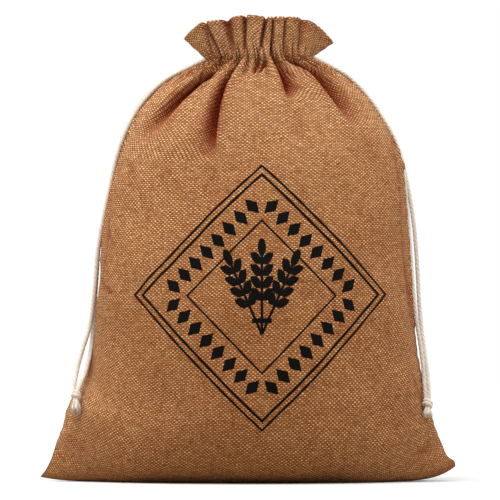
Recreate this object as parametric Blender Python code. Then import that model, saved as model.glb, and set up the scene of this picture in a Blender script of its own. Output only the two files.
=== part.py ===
"""Burlap drawstring sack, standing filled and drawn shut, as its sewn pieces.

Two cloth panels are sewn at the sides and the bottom. Their hems carry a cotton
cord from each side, which leaves at the side seam, hangs down beside the sack as
two strands and ends in a knot with a frayed tail.

Frame: metres, +Z up, the front faces -Y, the origin is the middle of the base.
On a panel, "across" runs from -1 at the left seam to +1 at the right seam, and
"rise" is the cloth's own height above the bottom seam.
"""
import math

import bmesh
import bpy
import numpy as np

# Cloth
CLOTH_THICKNESS = 0.0020
PIECE_GAP = 0.0003
SEAM_LIP = 0.0008
SEAM_LIP_POWER = 12
NECK_RISE = 0.480
HEM_RISE = 0.520
BACK_SIDE = -1.0
FRONT_SIDE = 1.0
SEAM_LIFT_POWER = 2

# Cord
CORD_DIAMETER = 0.0035
CORD_SIDES_RESOLUTION = 2

# Mesh density of a panel: stretches of rise with their number of rows
PANEL_COLUMNS = 54
ROW_STRETCHES = (
    # from, to, rows
    (0.000, 0.045, 2),
    (0.045, 0.115, 5),
    (0.115, 0.321, 6),
    (0.321, 0.459, 8),
    (0.459, 0.480, 2),
    (0.480, 0.520, 4),
)

# The filled sack, station by station up the cloth. left and right are the side
# seams, mid is the middle of the panel. "round" turns the section from a lens (0)
# to an ellipse (1), "taper" is the power of its depth towards the seams, and
# "level" is the share of the width that keeps the middle's height.
STATION_COLUMNS = (
    "rise", "left_x", "left_z", "right_x", "right_z", "mid_y", "mid_z", "round", "taper", "level")
STATIONS = (
    (0.000, -0.1918, 0.0055, 0.1918, 0.0120, 0.0000, 0.0000, 0.00, 1.00, 0.55),
    (0.024, -0.1860, 0.0160, 0.1885, 0.0165, 0.0240, 0.0000, 0.05, 0.95, 0.55),
    (0.045, -0.1805, 0.0270, 0.1820, 0.0260, 0.0450, 0.0000, 0.12, 0.90, 0.55),
    (0.060, -0.1765, 0.0350, 0.1775, 0.0350, 0.0600, 0.0035, 0.20, 0.90, 0.50),
    (0.077, -0.1735, 0.0430, 0.1735, 0.0440, 0.0740, 0.0120, 0.32, 0.88, 0.44),
    (0.095, -0.1690, 0.0550, 0.1695, 0.0560, 0.0850, 0.0260, 0.46, 0.87, 0.36),
    (0.115, -0.1630, 0.0710, 0.1635, 0.0720, 0.0930, 0.0450, 0.60, 0.86, 0.26),
    (0.146, -0.1475, 0.0940, 0.1580, 0.0960, 0.0980, 0.0750, 0.78, 0.85, 0.15),
    (0.181, -0.1417, 0.1240, 0.1522, 0.1250, 0.1000, 0.1100, 0.90, 0.85, 0.06),
    (0.220, -0.1402, 0.1570, 0.1478, 0.1580, 0.1000, 0.1500, 1.00, 0.85, 0.00),
    (0.250, -0.1368, 0.1840, 0.1465, 0.1850, 0.0985, 0.1800, 1.00, 0.85, 0.00),
    (0.280, -0.1343, 0.2110, 0.1454, 0.2120, 0.0945, 0.2100, 1.00, 0.85, 0.00),
    (0.321, -0.1270, 0.2530, 0.1432, 0.2540, 0.0870, 0.2510, 1.00, 0.85, 0.00),
    (0.363, -0.1170, 0.2970, 0.1378, 0.2980, 0.0755, 0.2910, 0.97, 0.85, 0.00),
    (0.402, -0.1025, 0.3330, 0.1215, 0.3330, 0.0595, 0.3270, 0.90, 0.85, 0.00),
    (0.438, -0.0785, 0.3640, 0.0980, 0.3640, 0.0405, 0.3570, 0.78, 0.83, 0.00),
    (0.462, -0.0560, 0.3790, 0.0770, 0.3800, 0.0255, 0.3755, 0.65, 0.78, 0.00),
    (0.475, -0.0420, 0.3850, 0.0625, 0.3872, 0.0170, 0.3850, 0.55, 0.72, 0.00),
    (0.480, -0.0382, 0.3873, 0.0584, 0.3900, 0.0150, 0.3890, 0.50, 0.70, 0.00),
)

# The hem, the free edge of the ruffle above the neck, seen from the front.
HEM_COLUMNS = ("across", "x", "z")
HEM = (
    (-1.00, -0.0584, 0.4071),
    (-0.84, -0.0500, 0.4150),
    (-0.66, -0.0400, 0.4212),
    (-0.42, -0.0250, 0.4222),
    (-0.20, -0.0110, 0.4258),
    (-0.05, 0.0000, 0.4276),
    (0.18, 0.0150, 0.4262),
    (0.54, 0.0440, 0.4264),
    (0.68, 0.0530, 0.4232),
    (0.84, 0.0635, 0.4165),
    (1.00, 0.0764, 0.4033),
)
RUFFLE_DEPTH = 0.0215
RUFFLE_ROUND = 0.20
RUFFLE_TAPER = 0.75
RUFFLE_FLARE_POWER = 1.5

# Pleats: each is a valley that runs from the hem through the drawn neck and down
# a body fold, along a curve from the neck past "bend" to "end". Depths are at the
# hem, at the neck and at the fold's deepest; widths are half widths, and lean makes
# one bank steeper (positive: the bank towards +X).
PLEAT_COLUMNS = (
    "hem_x", "neck_x", "bend_x", "bend_z", "end_x", "end_z", "hem_depth", "neck_depth",
    "fold_depth", "hem_width", "neck_width", "fold_width", "lean")
FRONT_PLEATS = (
    (-0.0405, -0.0318, -0.0345, 0.382, -0.0440, 0.374, 0.0030, 0.0034, 0.0020, 0.0018, 0.0018, 0.0040, 0.2),
    (-0.0390, -0.0240, -0.0290, 0.380, -0.0420, 0.366, 0.0040, 0.0042, 0.0030, 0.0019, 0.0018, 0.0045, 0.2),
    (-0.0212, -0.0125, -0.0690, 0.367, -0.0900, 0.292, 0.0088, 0.0060, 0.0176, 0.0048, 0.0026, 0.0112, 0.2),
    (-0.0022, -0.0030, -0.0270, 0.360, -0.0330, 0.290, 0.0074, 0.0062, 0.0158, 0.0024, 0.0022, 0.0080, 0.4),
    (0.0164, 0.0094, 0.0100, 0.380, 0.0093, 0.360, 0.0072, 0.0060, 0.0125, 0.0022, 0.0026, 0.0058, 0.0),
    (0.0235, 0.0200, 0.0265, 0.374, 0.0385, 0.347, 0.0034, 0.0056, 0.0115, 0.0014, 0.0018, 0.0062, -0.5),
    (0.0334, 0.0310, 0.0640, 0.375, 0.1000, 0.322, 0.0056, 0.0058, 0.0125, 0.0020, 0.0020, 0.0092, -0.4),
    (0.0515, 0.0450, 0.0560, 0.385, 0.0740, 0.374, 0.0036, 0.0044, 0.0036, 0.0062, 0.0022, 0.0050, 0.0),
)
BACK_PLEATS = (
    (-0.0430, -0.0300, -0.0480, 0.378, -0.0740, 0.346, 0.0040, 0.0044, 0.0060, 0.0036, 0.0022, 0.0070, 0.3),
    (-0.0250, -0.0180, -0.0340, 0.366, -0.0480, 0.314, 0.0066, 0.0058, 0.0104, 0.0028, 0.0022, 0.0084, -0.4),
    (-0.0070, -0.0050, -0.0120, 0.372, -0.0140, 0.344, 0.0070, 0.0060, 0.0090, 0.0032, 0.0024, 0.0060, 0.0),
    (0.0110, 0.0080, 0.0100, 0.350, 0.0180, 0.284, 0.0074, 0.0060, 0.0136, 0.0024, 0.0022, 0.0094, 0.3),
    (0.0270, 0.0210, 0.0340, 0.372, 0.0420, 0.346, 0.0052, 0.0056, 0.0076, 0.0026, 0.0020, 0.0056, -0.3),
    (0.0440, 0.0350, 0.0800, 0.368, 0.1050, 0.296, 0.0060, 0.0052, 0.0112, 0.0030, 0.0024, 0.0120, 0.1),
    (0.0580, 0.0470, 0.0620, 0.384, 0.0800, 0.370, 0.0036, 0.0040, 0.0036, 0.0034, 0.0022, 0.0050, 0.0),
)
PLEAT_SAMPLES = 28
PLEAT_OPENING_POWER = 4
PLEAT_FADING_POWER = 2
BANK_SHARE = 0.32
BANK_REACH = 2.3
EDGE_FADE_POWER = 8

# Cord strands: their hand-laid routes from the casing at the neck to the knot
CORD_ROUTES = {
    "cord_left_front": (
        (-0.0438, -0.0022, 0.3882), (-0.0562, -0.0022, 0.3817), (-0.0716, -0.0022, 0.3725),
        (-0.0853, -0.0022, 0.3606), (-0.0963, -0.0022, 0.3474), (-0.1060, -0.0022, 0.3315),
        (-0.1131, -0.0022, 0.3158), (-0.1190, -0.0022, 0.2985), (-0.1236, -0.0022, 0.2809),
        (-0.1274, -0.0022, 0.2634), (-0.1310, -0.0022, 0.2455), (-0.1343, -0.0022, 0.2275),
        (-0.1370, -0.0023, 0.2100), (-0.1392, -0.0024, 0.1900), (-0.1422, -0.0027, 0.1650),
        (-0.1456, -0.0036, 0.1420), (-0.1512, -0.0056, 0.1220), (-0.1562, -0.0092, 0.1040),
        (-0.1593, -0.0166, 0.0843)),
    "cord_left_back": (
        (-0.0438, 0.0022, 0.3882), (-0.0562, 0.0022, 0.3817), (-0.0716, 0.0022, 0.3725),
        (-0.0853, 0.0022, 0.3606), (-0.0963, 0.0022, 0.3474), (-0.1060, 0.0022, 0.3315),
        (-0.1131, 0.0022, 0.3158), (-0.1190, 0.0022, 0.2985), (-0.1236, 0.0022, 0.2809),
        (-0.1274, 0.0022, 0.2634), (-0.1310, 0.0022, 0.2455), (-0.1343, 0.0022, 0.2275),
        (-0.1368, 0.0021, 0.2100), (-0.1386, 0.0019, 0.1900), (-0.1414, 0.0015, 0.1650),
        (-0.1440, 0.0005, 0.1420), (-0.1464, -0.0030, 0.1220), (-0.1504, -0.0086, 0.1040),
        (-0.1554, -0.0166, 0.0844)),
    "cord_right_front": (
        (0.0638, -0.0022, 0.3900), (0.0752, -0.0022, 0.3838), (0.0909, -0.0022, 0.3734),
        (0.1039, -0.0022, 0.3612), (0.1153, -0.0022, 0.3471), (0.1247, -0.0022, 0.3325),
        (0.1337, -0.0022, 0.3165), (0.1400, -0.0022, 0.2994), (0.1430, -0.0022, 0.2816),
        (0.1448, -0.0022, 0.2642), (0.1464, -0.0022, 0.2461), (0.1477, -0.0022, 0.2283),
        (0.1490, -0.0023, 0.2100), (0.1503, -0.0025, 0.1900), (0.1524, -0.0030, 0.1640),
        (0.1553, -0.0038, 0.1420), (0.1586, -0.0052, 0.1200), (0.1611, -0.0066, 0.0990),
        (0.1630, -0.0107, 0.0777)),
    "cord_right_back": (
        (0.0638, 0.0022, 0.3900), (0.0752, 0.0022, 0.3838), (0.0909, 0.0022, 0.3734),
        (0.1039, 0.0022, 0.3612), (0.1153, 0.0022, 0.3471), (0.1247, 0.0022, 0.3325),
        (0.1337, 0.0022, 0.3165), (0.1403, 0.0022, 0.2994), (0.1447, 0.0022, 0.2816),
        (0.1482, 0.0022, 0.2642), (0.1511, 0.0021, 0.2461), (0.1532, 0.0019, 0.2283),
        (0.1546, 0.0016, 0.2100), (0.1558, 0.0011, 0.1900), (0.1571, 0.0004, 0.1640),
        (0.1589, -0.0006, 0.1420), (0.1615, -0.0026, 0.1200), (0.1653, -0.0052, 0.0990),
        (0.1669, -0.0107, 0.0777)),
}
KNOT_PLACES = {
    # middle of the knot's top, and how far its tail swings forward, in degrees
    "knot_left": ((-0.1574, -0.0170, 0.0836), 25.0),
    "knot_right": ((0.1650, -0.0109, 0.0770), 20.0),
}
# A knot with its frayed tail: radius against the distance below its top
KNOT_COLUMNS = ("drop", "radius")
KNOT_PROFILE = (
    (0.0000, 0.0030),
    (0.0022, 0.0043),
    (0.0048, 0.0046),
    (0.0078, 0.0041),
    (0.0098, 0.0030),
    (0.0125, 0.0035),
    (0.0180, 0.0043),
    (0.0236, 0.0050),
)
KNOT_SEGMENTS = 16
KNOT_RINGS = 18
KNOT_WRAP = 0.0006
KNOT_WRAP_LOBES = 2
KNOT_WRAP_TURNS = 2
KNOT_DEPTH_SHARE = 0.85
FRAY = 0.0016
FRAY_LOCKS = 5
FRAY_POWER = 6

FINISHES = {
    # linear colour, roughness
    "burlap": ((0.36, 0.18, 0.075), 0.92),
    "cotton": ((0.72, 0.66, 0.57), 0.88),
}


def columns(names, rows):
    """A short table as one array for each named column."""
    return {name: np.array(values) for name, values in zip(names, zip(*rows))}


STATION = columns(STATION_COLUMNS, STATIONS)
HEM_EDGE = columns(HEM_COLUMNS, HEM)
KNOT = columns(KNOT_COLUMNS, KNOT_PROFILE)


def smooth_curve(keys, values, at):
    """Cubic curve through a table's points that never overshoots them."""
    step = np.diff(keys)
    rate = np.diff(values) / step
    before, after = rate[:-1], rate[1:]
    same_way = before * after > 0
    total = np.where(same_way, before + after, 1.0)
    slope = np.zeros(len(keys))
    slope[1:-1] = np.where(same_way, 2.0 * before * after / total, 0.0)
    slope[0], slope[-1] = rate[0], rate[-1]
    at = np.clip(at, keys[0], keys[-1])
    cell = np.clip(np.searchsorted(keys, at, side="right") - 1, 0, len(keys) - 2)
    part = (at - keys[cell]) / step[cell]
    low, high = values[cell], values[cell + 1]
    return (low + (high - low) * part * part * (3.0 - 2.0 * part)
            + step[cell] * part * (1.0 - part)
            * (slope[cell] * (1.0 - part) - slope[cell + 1] * part))


def section(across, roundness, taper):
    """Sideways and depthwise share of a lens that turns into an ellipse."""
    turn = 0.5 * math.pi * across
    sideways = (1.0 - roundness) * across + roundness * np.sin(turn)
    depthwise = np.clip(np.cos(turn), 0.0, 1.0) ** taper
    return sideways, depthwise


def seam_lip(across):
    """Depth of a panel's outer face at the seams: half the gap and a thin folded lip."""
    return -0.5 * PIECE_GAP - SEAM_LIP * np.abs(across) ** SEAM_LIP_POWER


def body_surface(across, rise):
    """Front of the filled sack below the neck, without its folds."""
    row = {name: smooth_curve(STATION["rise"], STATION[name], rise) for name in STATION_COLUMNS}
    sideways, depthwise = section(across, row["round"], row["taper"])
    centre = 0.5 * (row["right_x"] + row["left_x"])
    half = 0.5 * (row["right_x"] - row["left_x"])
    outer = np.clip((np.abs(across) - row["level"]) / (1.0 - row["level"]), 0.0, 1.0)
    seam_z = np.where(across < 0.0, row["left_z"], row["right_z"])
    height = row["mid_z"] + (seam_z - row["mid_z"]) * outer ** SEAM_LIFT_POWER
    return centre + half * sideways, seam_lip(across) - row["mid_y"] * depthwise, height


def ruffle_surface(across, rise):
    """Front of the ruffle, straight from the neck out to the hem."""
    neck_x, neck_y, neck_z = body_surface(across, np.full_like(rise, NECK_RISE))
    hem_x = smooth_curve(HEM_EDGE["across"], HEM_EDGE["x"], across)
    hem_z = smooth_curve(HEM_EDGE["across"], HEM_EDGE["z"], across)
    depthwise = section(across, RUFFLE_ROUND, RUFFLE_TAPER)[1]
    hem_y = seam_lip(across) - RUFFLE_DEPTH * depthwise
    out = np.clip((rise - NECK_RISE) / (HEM_RISE - NECK_RISE), 0.0, 1.0)
    return (neck_x + (hem_x - neck_x) * out,
            neck_y + (hem_y - neck_y) * out ** RUFFLE_FLARE_POWER,
            neck_z + (hem_z - neck_z) * out)


def panel_surface(across, rise):
    """Front panel without its folds, as an array of points."""
    body = body_surface(across, np.minimum(rise, NECK_RISE))
    ruffle = ruffle_surface(across, rise)
    return np.stack([np.where(rise > NECK_RISE, b, a) for a, b in zip(body, ruffle)], axis=-1)


def surface_normal(points):
    """Outward unit normals of a grid of points (columns first, then rows)."""
    along = np.gradient(points, axis=0)
    upward = np.gradient(points, axis=1)
    normal = np.cross(along, upward)
    return normal / np.linalg.norm(normal, axis=-1, keepdims=True)


def neck_height(x):
    """Height of the drawn neck's line, which tilts a little."""
    last = {name: STATION[name][-1] for name in STATION_COLUMNS}
    middle = 0.5 * (last["left_x"] + last["right_x"])
    return np.interp(x, (last["left_x"], middle, last["right_x"]),
                     (last["left_z"], last["mid_z"], last["right_z"]))


def pleat_line(pleat):
    """Points, depths and half widths along one pleat, from the hem down."""
    neck = np.array([pleat["neck_x"], neck_height(pleat["neck_x"])])
    hem = np.array([pleat["hem_x"], smooth_curve(HEM_EDGE["x"], HEM_EDGE["z"], pleat["hem_x"])])
    bend = np.array([pleat["bend_x"], pleat["bend_z"]])
    end = np.array([pleat["end_x"], pleat["end_z"]])
    part = np.linspace(0.0, 1.0, PLEAT_SAMPLES)
    run = part[:, None]
    upper = hem + (neck - hem) * run
    lower = (1.0 - run) ** 2 * neck + 2.0 * run * (1.0 - run) * bend + run ** 2 * end
    opening = 1.0 - (1.0 - part) ** PLEAT_OPENING_POWER
    fading = np.cos(0.5 * math.pi * part ** PLEAT_FADING_POWER)
    depth = np.concatenate([
        pleat["hem_depth"] + (pleat["neck_depth"] - pleat["hem_depth"]) * part[:-1],
        (pleat["neck_depth"] + (pleat["fold_depth"] - pleat["neck_depth"]) * opening) * fading])
    width = np.concatenate([
        pleat["hem_width"] + (pleat["neck_width"] - pleat["hem_width"]) * part[:-1],
        pleat["neck_width"] + (pleat["fold_width"] - pleat["neck_width"]) * opening])
    return np.concatenate([upper[:-1], lower]), depth, width


def pleat_height(points, pleats):
    """Height that the pleats add: valleys pushed in, with a soft swell beside them."""
    seen = points[..., (0, 2)]
    height = np.zeros(seen.shape[:-1])
    for values in pleats:
        pleat = dict(zip(PLEAT_COLUMNS, values))
        line, depth, width = pleat_line(pleat)
        run = np.gradient(line, axis=0)
        run = run / np.linalg.norm(run, axis=1, keepdims=True)
        away = seen[..., None, :] - line
        nearest = np.argmin((away ** 2).sum(axis=-1), axis=-1)
        away = seen - line[nearest]
        beside = run[nearest, 0] * away[..., 1] - run[nearest, 1] * away[..., 0]
        bank = width[nearest] * (1.0 - pleat["lean"] * np.sign(beside))
        valley = np.exp(-(beside / bank) ** 2)
        swell = np.exp(-(beside / (BANK_REACH * bank)) ** 2)
        height -= depth[nearest] * ((1.0 + BANK_SHARE) * valley - BANK_SHARE * swell)
    return height


def row_rises():
    """Rise of each row of a panel's mesh."""
    rises = [np.linspace(low, high, rows, endpoint=False) for low, high, rows in ROW_STRETCHES]
    return np.concatenate(rises + [[HEM_RISE]])


def cloth_layer(cage, points):
    """One face of a panel: a grid laid on the given points."""
    spans = np.array(points.shape[:2]) - 1
    made = bmesh.ops.create_grid(
        cage, x_segments=int(spans[0]), y_segments=int(spans[1]), size=1.0)["verts"]
    for vertex in made:
        column = round(0.5 * (vertex.co.x + 1.0) * spans[0])
        row = round(0.5 * (vertex.co.y + 1.0) * spans[1])
        vertex.co = points[column, row]


def build_panel(name, side, pleats, finish, collection):
    """Closed solid of one cloth panel: outer face, inner face and the edges between."""
    across, rise = np.meshgrid(
        np.linspace(-1.0, 1.0, PANEL_COLUMNS + 1), row_rises(), indexing="ij")
    plain = panel_surface(across, rise)
    normal = surface_normal(plain)
    height = pleat_height(plain, pleats) * (1.0 - np.abs(across) ** EDGE_FADE_POWER)
    outside = plain + normal * height[..., None]
    inside = outside - normal * CLOTH_THICKNESS
    inside[(0, -1), :, 1] = -0.5 * PIECE_GAP
    cage = bmesh.new()
    for layer in (outside, inside):
        layer[..., 1] = side * np.minimum(layer[..., 1], -0.5 * PIECE_GAP)
        cloth_layer(cage, layer)
    rims = [edge for edge in cage.edges if edge.is_boundary]
    bmesh.ops.bridge_loops(cage, edges=rims)
    bmesh.ops.recalc_face_normals(cage, faces=cage.faces)
    return add_mesh(name, cage, finish, collection)


def add_mesh(name, cage, finish, collection):
    """Object from a bmesh, shaded smooth."""
    mesh = bpy.data.meshes.new(name)
    cage.to_mesh(mesh)
    cage.free()
    mesh.shade_smooth()
    mesh.materials.append(finish)
    item = bpy.data.objects.new(name, mesh)
    collection.objects.link(item)
    return item


def smooth_route(route, count):
    """Evenly spaced points of a smooth curve through a route."""
    route = np.array(route)
    run = np.concatenate([[0.0], np.cumsum(np.linalg.norm(np.diff(route, axis=0), axis=1))])
    at = np.linspace(0.0, run[-1], count)
    return np.stack([smooth_curve(run, route[:, axis], at) for axis in range(3)], axis=-1)


def build_cord(name, route, finish, collection):
    """Tube of one cord strand along its route."""
    curve = bpy.data.curves.new(name, "CURVE")
    curve.dimensions = "3D"
    curve.bevel_depth = 0.5 * CORD_DIAMETER
    curve.bevel_resolution = CORD_SIDES_RESOLUTION
    curve.use_fill_caps = True
    spline = curve.splines.new("POLY")
    points = smooth_route(route, len(route))
    spline.points.add(len(points) - 1)
    for place, point in zip(spline.points, points):
        place.co = (*point, 1.0)
    curve.materials.append(finish)
    item = bpy.data.objects.new(name, curve)
    collection.objects.link(item)
    return item


def build_knot(name, place, finish, collection):
    """Overhand knot and its frayed tail, as one turned and wrapped solid."""
    cage = bmesh.new()
    made = bmesh.ops.create_uvsphere(
        cage, u_segments=KNOT_SEGMENTS, v_segments=KNOT_RINGS, radius=1.0)["verts"]
    first_ring = math.pi / KNOT_RINGS
    length = KNOT["drop"][-1]
    for vertex in made:
        polar = math.acos(max(-1.0, min(1.0, vertex.co.z)))
        turn = math.atan2(vertex.co.y, vertex.co.x)
        part = min(max((polar - first_ring) / (math.pi - 2.0 * first_ring), 0.0), 1.0)
        drop = part * length
        radius = float(smooth_curve(KNOT["drop"], KNOT["radius"], drop))
        radius += KNOT_WRAP * math.cos(KNOT_WRAP_LOBES * turn + 2.0 * math.pi * KNOT_WRAP_TURNS * part)
        on_axis = min(polar, math.pi - polar) < 0.5 * first_ring
        if on_axis:
            radius = 0.0
        else:
            drop += FRAY * part ** FRAY_POWER * math.cos(FRAY_LOCKS * turn)
        vertex.co = (radius * math.cos(turn), KNOT_DEPTH_SHARE * radius * math.sin(turn), -drop)
    bmesh.ops.recalc_face_normals(cage, faces=cage.faces)
    item = add_mesh(name, cage, finish, collection)
    item.location = place[0]
    item.rotation_euler.x = -math.radians(place[1])
    return item


def build_finish(name, colour, roughness):
    """Plain material of one finish."""
    finish = bpy.data.materials.new(name)
    finish.use_nodes = True
    shader = finish.node_tree.nodes["Principled BSDF"]
    shader.inputs["Base Color"].default_value = (*colour, 1.0)
    shader.inputs["Roughness"].default_value = roughness
    shader.inputs["Metallic"].default_value = 0.0
    return finish


def build_sack():
    """All pieces of the sack, in their own collection."""
    for item in list(bpy.data.objects):
        bpy.data.objects.remove(item, do_unlink=True)
    collection = bpy.data.collections.new("burlap_sack")
    bpy.context.scene.collection.children.link(collection)
    finishes = {name: build_finish(name, *look) for name, look in FINISHES.items()}
    build_panel("front_panel", FRONT_SIDE, FRONT_PLEATS, finishes["burlap"], collection)
    build_panel("back_panel", BACK_SIDE, BACK_PLEATS, finishes["burlap"], collection)
    for name, route in CORD_ROUTES.items():
        build_cord(name, route, finishes["cotton"], collection)
    for name, place in KNOT_PLACES.items():
        build_knot(name, place, finishes["cotton"], collection)


build_sack()
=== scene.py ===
"""Burlap drawstring sack: cloth, cords, knots, finishes, light and camera.

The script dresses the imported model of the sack. Two cloth panels carry the gathers of
the drawn neck, the folds of the shoulders and the puckers of the side seams; twisted
cotton cords hang from the neck to knots with frayed tails.

Frame: metres, +Z up, the front faces -Y, the origin is the middle of the base.
On a panel, "across" runs from -1 at the left seam to +1 at the right seam, and
"rise" is the cloth's own height above the bottom seam.
"""
import math

import bpy
import numpy as np
from bpy.props import FloatProperty, FloatVectorProperty, PointerProperty
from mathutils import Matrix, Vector


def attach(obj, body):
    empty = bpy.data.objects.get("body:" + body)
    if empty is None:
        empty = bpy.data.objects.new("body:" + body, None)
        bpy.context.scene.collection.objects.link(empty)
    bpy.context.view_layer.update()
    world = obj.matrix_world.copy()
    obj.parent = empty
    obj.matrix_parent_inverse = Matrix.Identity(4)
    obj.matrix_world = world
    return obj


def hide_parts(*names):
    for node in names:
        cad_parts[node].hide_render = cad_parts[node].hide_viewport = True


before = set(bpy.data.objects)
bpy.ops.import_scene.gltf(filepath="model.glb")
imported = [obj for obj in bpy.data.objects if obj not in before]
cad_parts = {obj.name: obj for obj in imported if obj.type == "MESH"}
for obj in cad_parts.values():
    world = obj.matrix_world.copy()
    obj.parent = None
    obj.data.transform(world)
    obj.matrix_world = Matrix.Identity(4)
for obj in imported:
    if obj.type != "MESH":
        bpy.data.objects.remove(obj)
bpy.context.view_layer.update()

bl_info = {
    "name": "Burlap Drawstring Sack",
    "version": (1, 0, 0),
    "blender": (4, 5, 0),
    "location": "View3D > Sidebar > Sack",
    "description": "Dresses the packed sack with cloth, cords, knots, light and a camera",
    "category": "Add Mesh",
}

# Cloth
PIECE_GAP = 0.0003
SEAM_LIP = 0.0008
SEAM_LIP_POWER = 12
NECK_RISE = 0.480
HEM_RISE = 0.520
SEAM_TO_SEAM = 0.390
BACK_SIDE = -1.0
FRONT_SIDE = 1.0

# Mesh density of a panel: stretches of rise with their number of rows
PANEL_COLUMNS = 236
ROW_STRETCHES = (
    # from, to, rows
    (0.000, 0.045, 9),
    (0.045, 0.350, 86),
    (0.350, 0.455, 50),
    (0.455, 0.520, 52),
)
HEM_TURNS = 4

# The filled sack, station by station up the cloth. left and right are the side
# seams, mid is the middle of the panel. "round" turns the section from a lens (0)
# to an ellipse (1), "taper" is the power of its depth towards the seams, "level" is
# the share of the width that keeps the middle's height, and "lift" the power with
# which the cloth beyond it rises to the seam.
STATION_COLUMNS = (
    "rise", "left_x", "left_z", "right_x", "right_z", "mid_y", "mid_z", "round", "taper", "level",
    "lift")
STATIONS = (
    (0.000, -0.1912, 0.0042, 0.1900, 0.0138, 0.0000, 0.0000, 0.00, 1.00, 0.55, 5.0),
    (0.024, -0.1862, 0.0105, 0.1894, 0.0180, 0.0240, 0.0000, 0.05, 0.95, 0.55, 3.5),
    (0.045, -0.1808, 0.0215, 0.1826, 0.0232, 0.0450, 0.0000, 0.12, 0.90, 0.55, 2.0),
    (0.060, -0.1765, 0.0350, 0.1775, 0.0350, 0.0600, 0.0035, 0.20, 0.90, 0.50, 2.0),
    (0.077, -0.1735, 0.0430, 0.1735, 0.0440, 0.0740, 0.0120, 0.32, 0.88, 0.44, 2.0),
    (0.095, -0.1690, 0.0550, 0.1695, 0.0560, 0.0850, 0.0260, 0.46, 0.87, 0.36, 2.0),
    (0.115, -0.1630, 0.0710, 0.1635, 0.0720, 0.0930, 0.0450, 0.60, 0.86, 0.26, 2.0),
    (0.146, -0.1475, 0.0940, 0.1580, 0.0960, 0.0980, 0.0750, 0.78, 0.85, 0.15, 2.0),
    (0.181, -0.1417, 0.1240, 0.1522, 0.1250, 0.1000, 0.1100, 0.90, 0.85, 0.06, 2.0),
    (0.220, -0.1402, 0.1570, 0.1478, 0.1580, 0.1000, 0.1500, 1.00, 0.85, 0.00, 2.0),
    (0.250, -0.1368, 0.1840, 0.1465, 0.1850, 0.0985, 0.1800, 1.00, 0.85, 0.00, 2.0),
    (0.280, -0.1343, 0.2110, 0.1454, 0.2120, 0.0945, 0.2100, 1.00, 0.85, 0.00, 2.0),
    (0.321, -0.1270, 0.2530, 0.1432, 0.2540, 0.0870, 0.2510, 1.00, 0.85, 0.00, 2.0),
    (0.363, -0.1170, 0.2970, 0.1378, 0.2980, 0.0755, 0.2910, 0.97, 0.85, 0.00, 2.0),
    (0.402, -0.1025, 0.3330, 0.1215, 0.3330, 0.0595, 0.3270, 0.90, 0.85, 0.00, 2.0),
    (0.438, -0.0785, 0.3640, 0.0980, 0.3640, 0.0405, 0.3570, 0.78, 0.83, 0.00, 2.0),
    (0.462, -0.0560, 0.3790, 0.0770, 0.3800, 0.0275, 0.3755, 0.65, 0.78, 0.00, 2.0),
    (0.475, -0.0420, 0.3850, 0.0625, 0.3872, 0.0202, 0.3850, 0.55, 0.72, 0.00, 2.0),
    (0.480, -0.0382, 0.3873, 0.0584, 0.3900, 0.0184, 0.3890, 0.50, 0.70, 0.00, 2.0),
)

# The hem, the free edge of the ruffle above the neck, seen from the front.
HEM_COLUMNS = ("across", "x", "z")
HEM = (
    (-1.00, -0.0592, 0.4071),
    (-0.84, -0.0500, 0.4150),
    (-0.66, -0.0400, 0.4212),
    (-0.42, -0.0250, 0.4222),
    (-0.20, -0.0110, 0.4252),
    (-0.05, 0.0000, 0.4267),
    (0.18, 0.0150, 0.4254),
    (0.54, 0.0440, 0.4252),
    (0.68, 0.0530, 0.4232),
    (0.84, 0.0645, 0.4165),
    (1.00, 0.0778, 0.4033),
)
RUFFLE_DEPTH = 0.0158
RUFFLE_ROUND = 0.20
RUFFLE_TAPER = 0.75
RUFFLE_FLARE_POWER = 1.5

# Pleats: each is a valley that runs from the hem through the drawn neck and down
# a body fold, along a curve from the neck past "bend" to "end". Depths are at the
# hem, at the neck and at the fold's deepest; widths are half widths, and lean makes
# one bank steeper (positive: the bank towards +X).
PLEAT_COLUMNS = (
    "hem_x", "neck_x", "bend_x", "bend_z", "end_x", "end_z", "hem_depth", "neck_depth",
    "fold_depth", "hem_width", "neck_width", "fold_width", "lean")
FRONT_PLEATS = (
    (-0.0405, -0.0318, -0.0345, 0.382, -0.0440, 0.374, 0.0034, 0.0024, 0.0020, 0.0016, 0.0014, 0.0040, 0.2),
    (-0.0390, -0.0240, -0.0290, 0.380, -0.0420, 0.366, 0.0044, 0.0030, 0.0030, 0.0016, 0.0014, 0.0045, 0.2),
    (-0.0205, -0.0125, -0.0640, 0.366, -0.0990, 0.310, 0.0096, 0.0018, 0.0125, 0.0044, 0.0011, 0.0098, -0.3),
    (-0.0022, -0.0030, -0.0270, 0.360, -0.0330, 0.290, 0.0084, 0.0022, 0.0190, 0.0020, 0.0011, 0.0102, 0.5),
    (0.0164, 0.0094, 0.0112, 0.383, 0.0105, 0.372, 0.0082, 0.0024, 0.0040, 0.0018, 0.0012, 0.0030, 0.0),
    (0.0226, 0.0200, 0.0265, 0.374, 0.0385, 0.347, 0.0040, 0.0060, 0.0158, 0.0011, 0.0016, 0.0092, -0.5),
    (0.0338, 0.0310, 0.0640, 0.375, 0.1000, 0.322, 0.0050, 0.0016, 0.0130, 0.0012, 0.0010, 0.0096, -0.4),
    (0.0500, 0.0450, 0.0580, 0.384, 0.0880, 0.365, 0.0042, 0.0016, 0.0036, 0.0056, 0.0011, 0.0052, 0.0),
)
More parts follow.
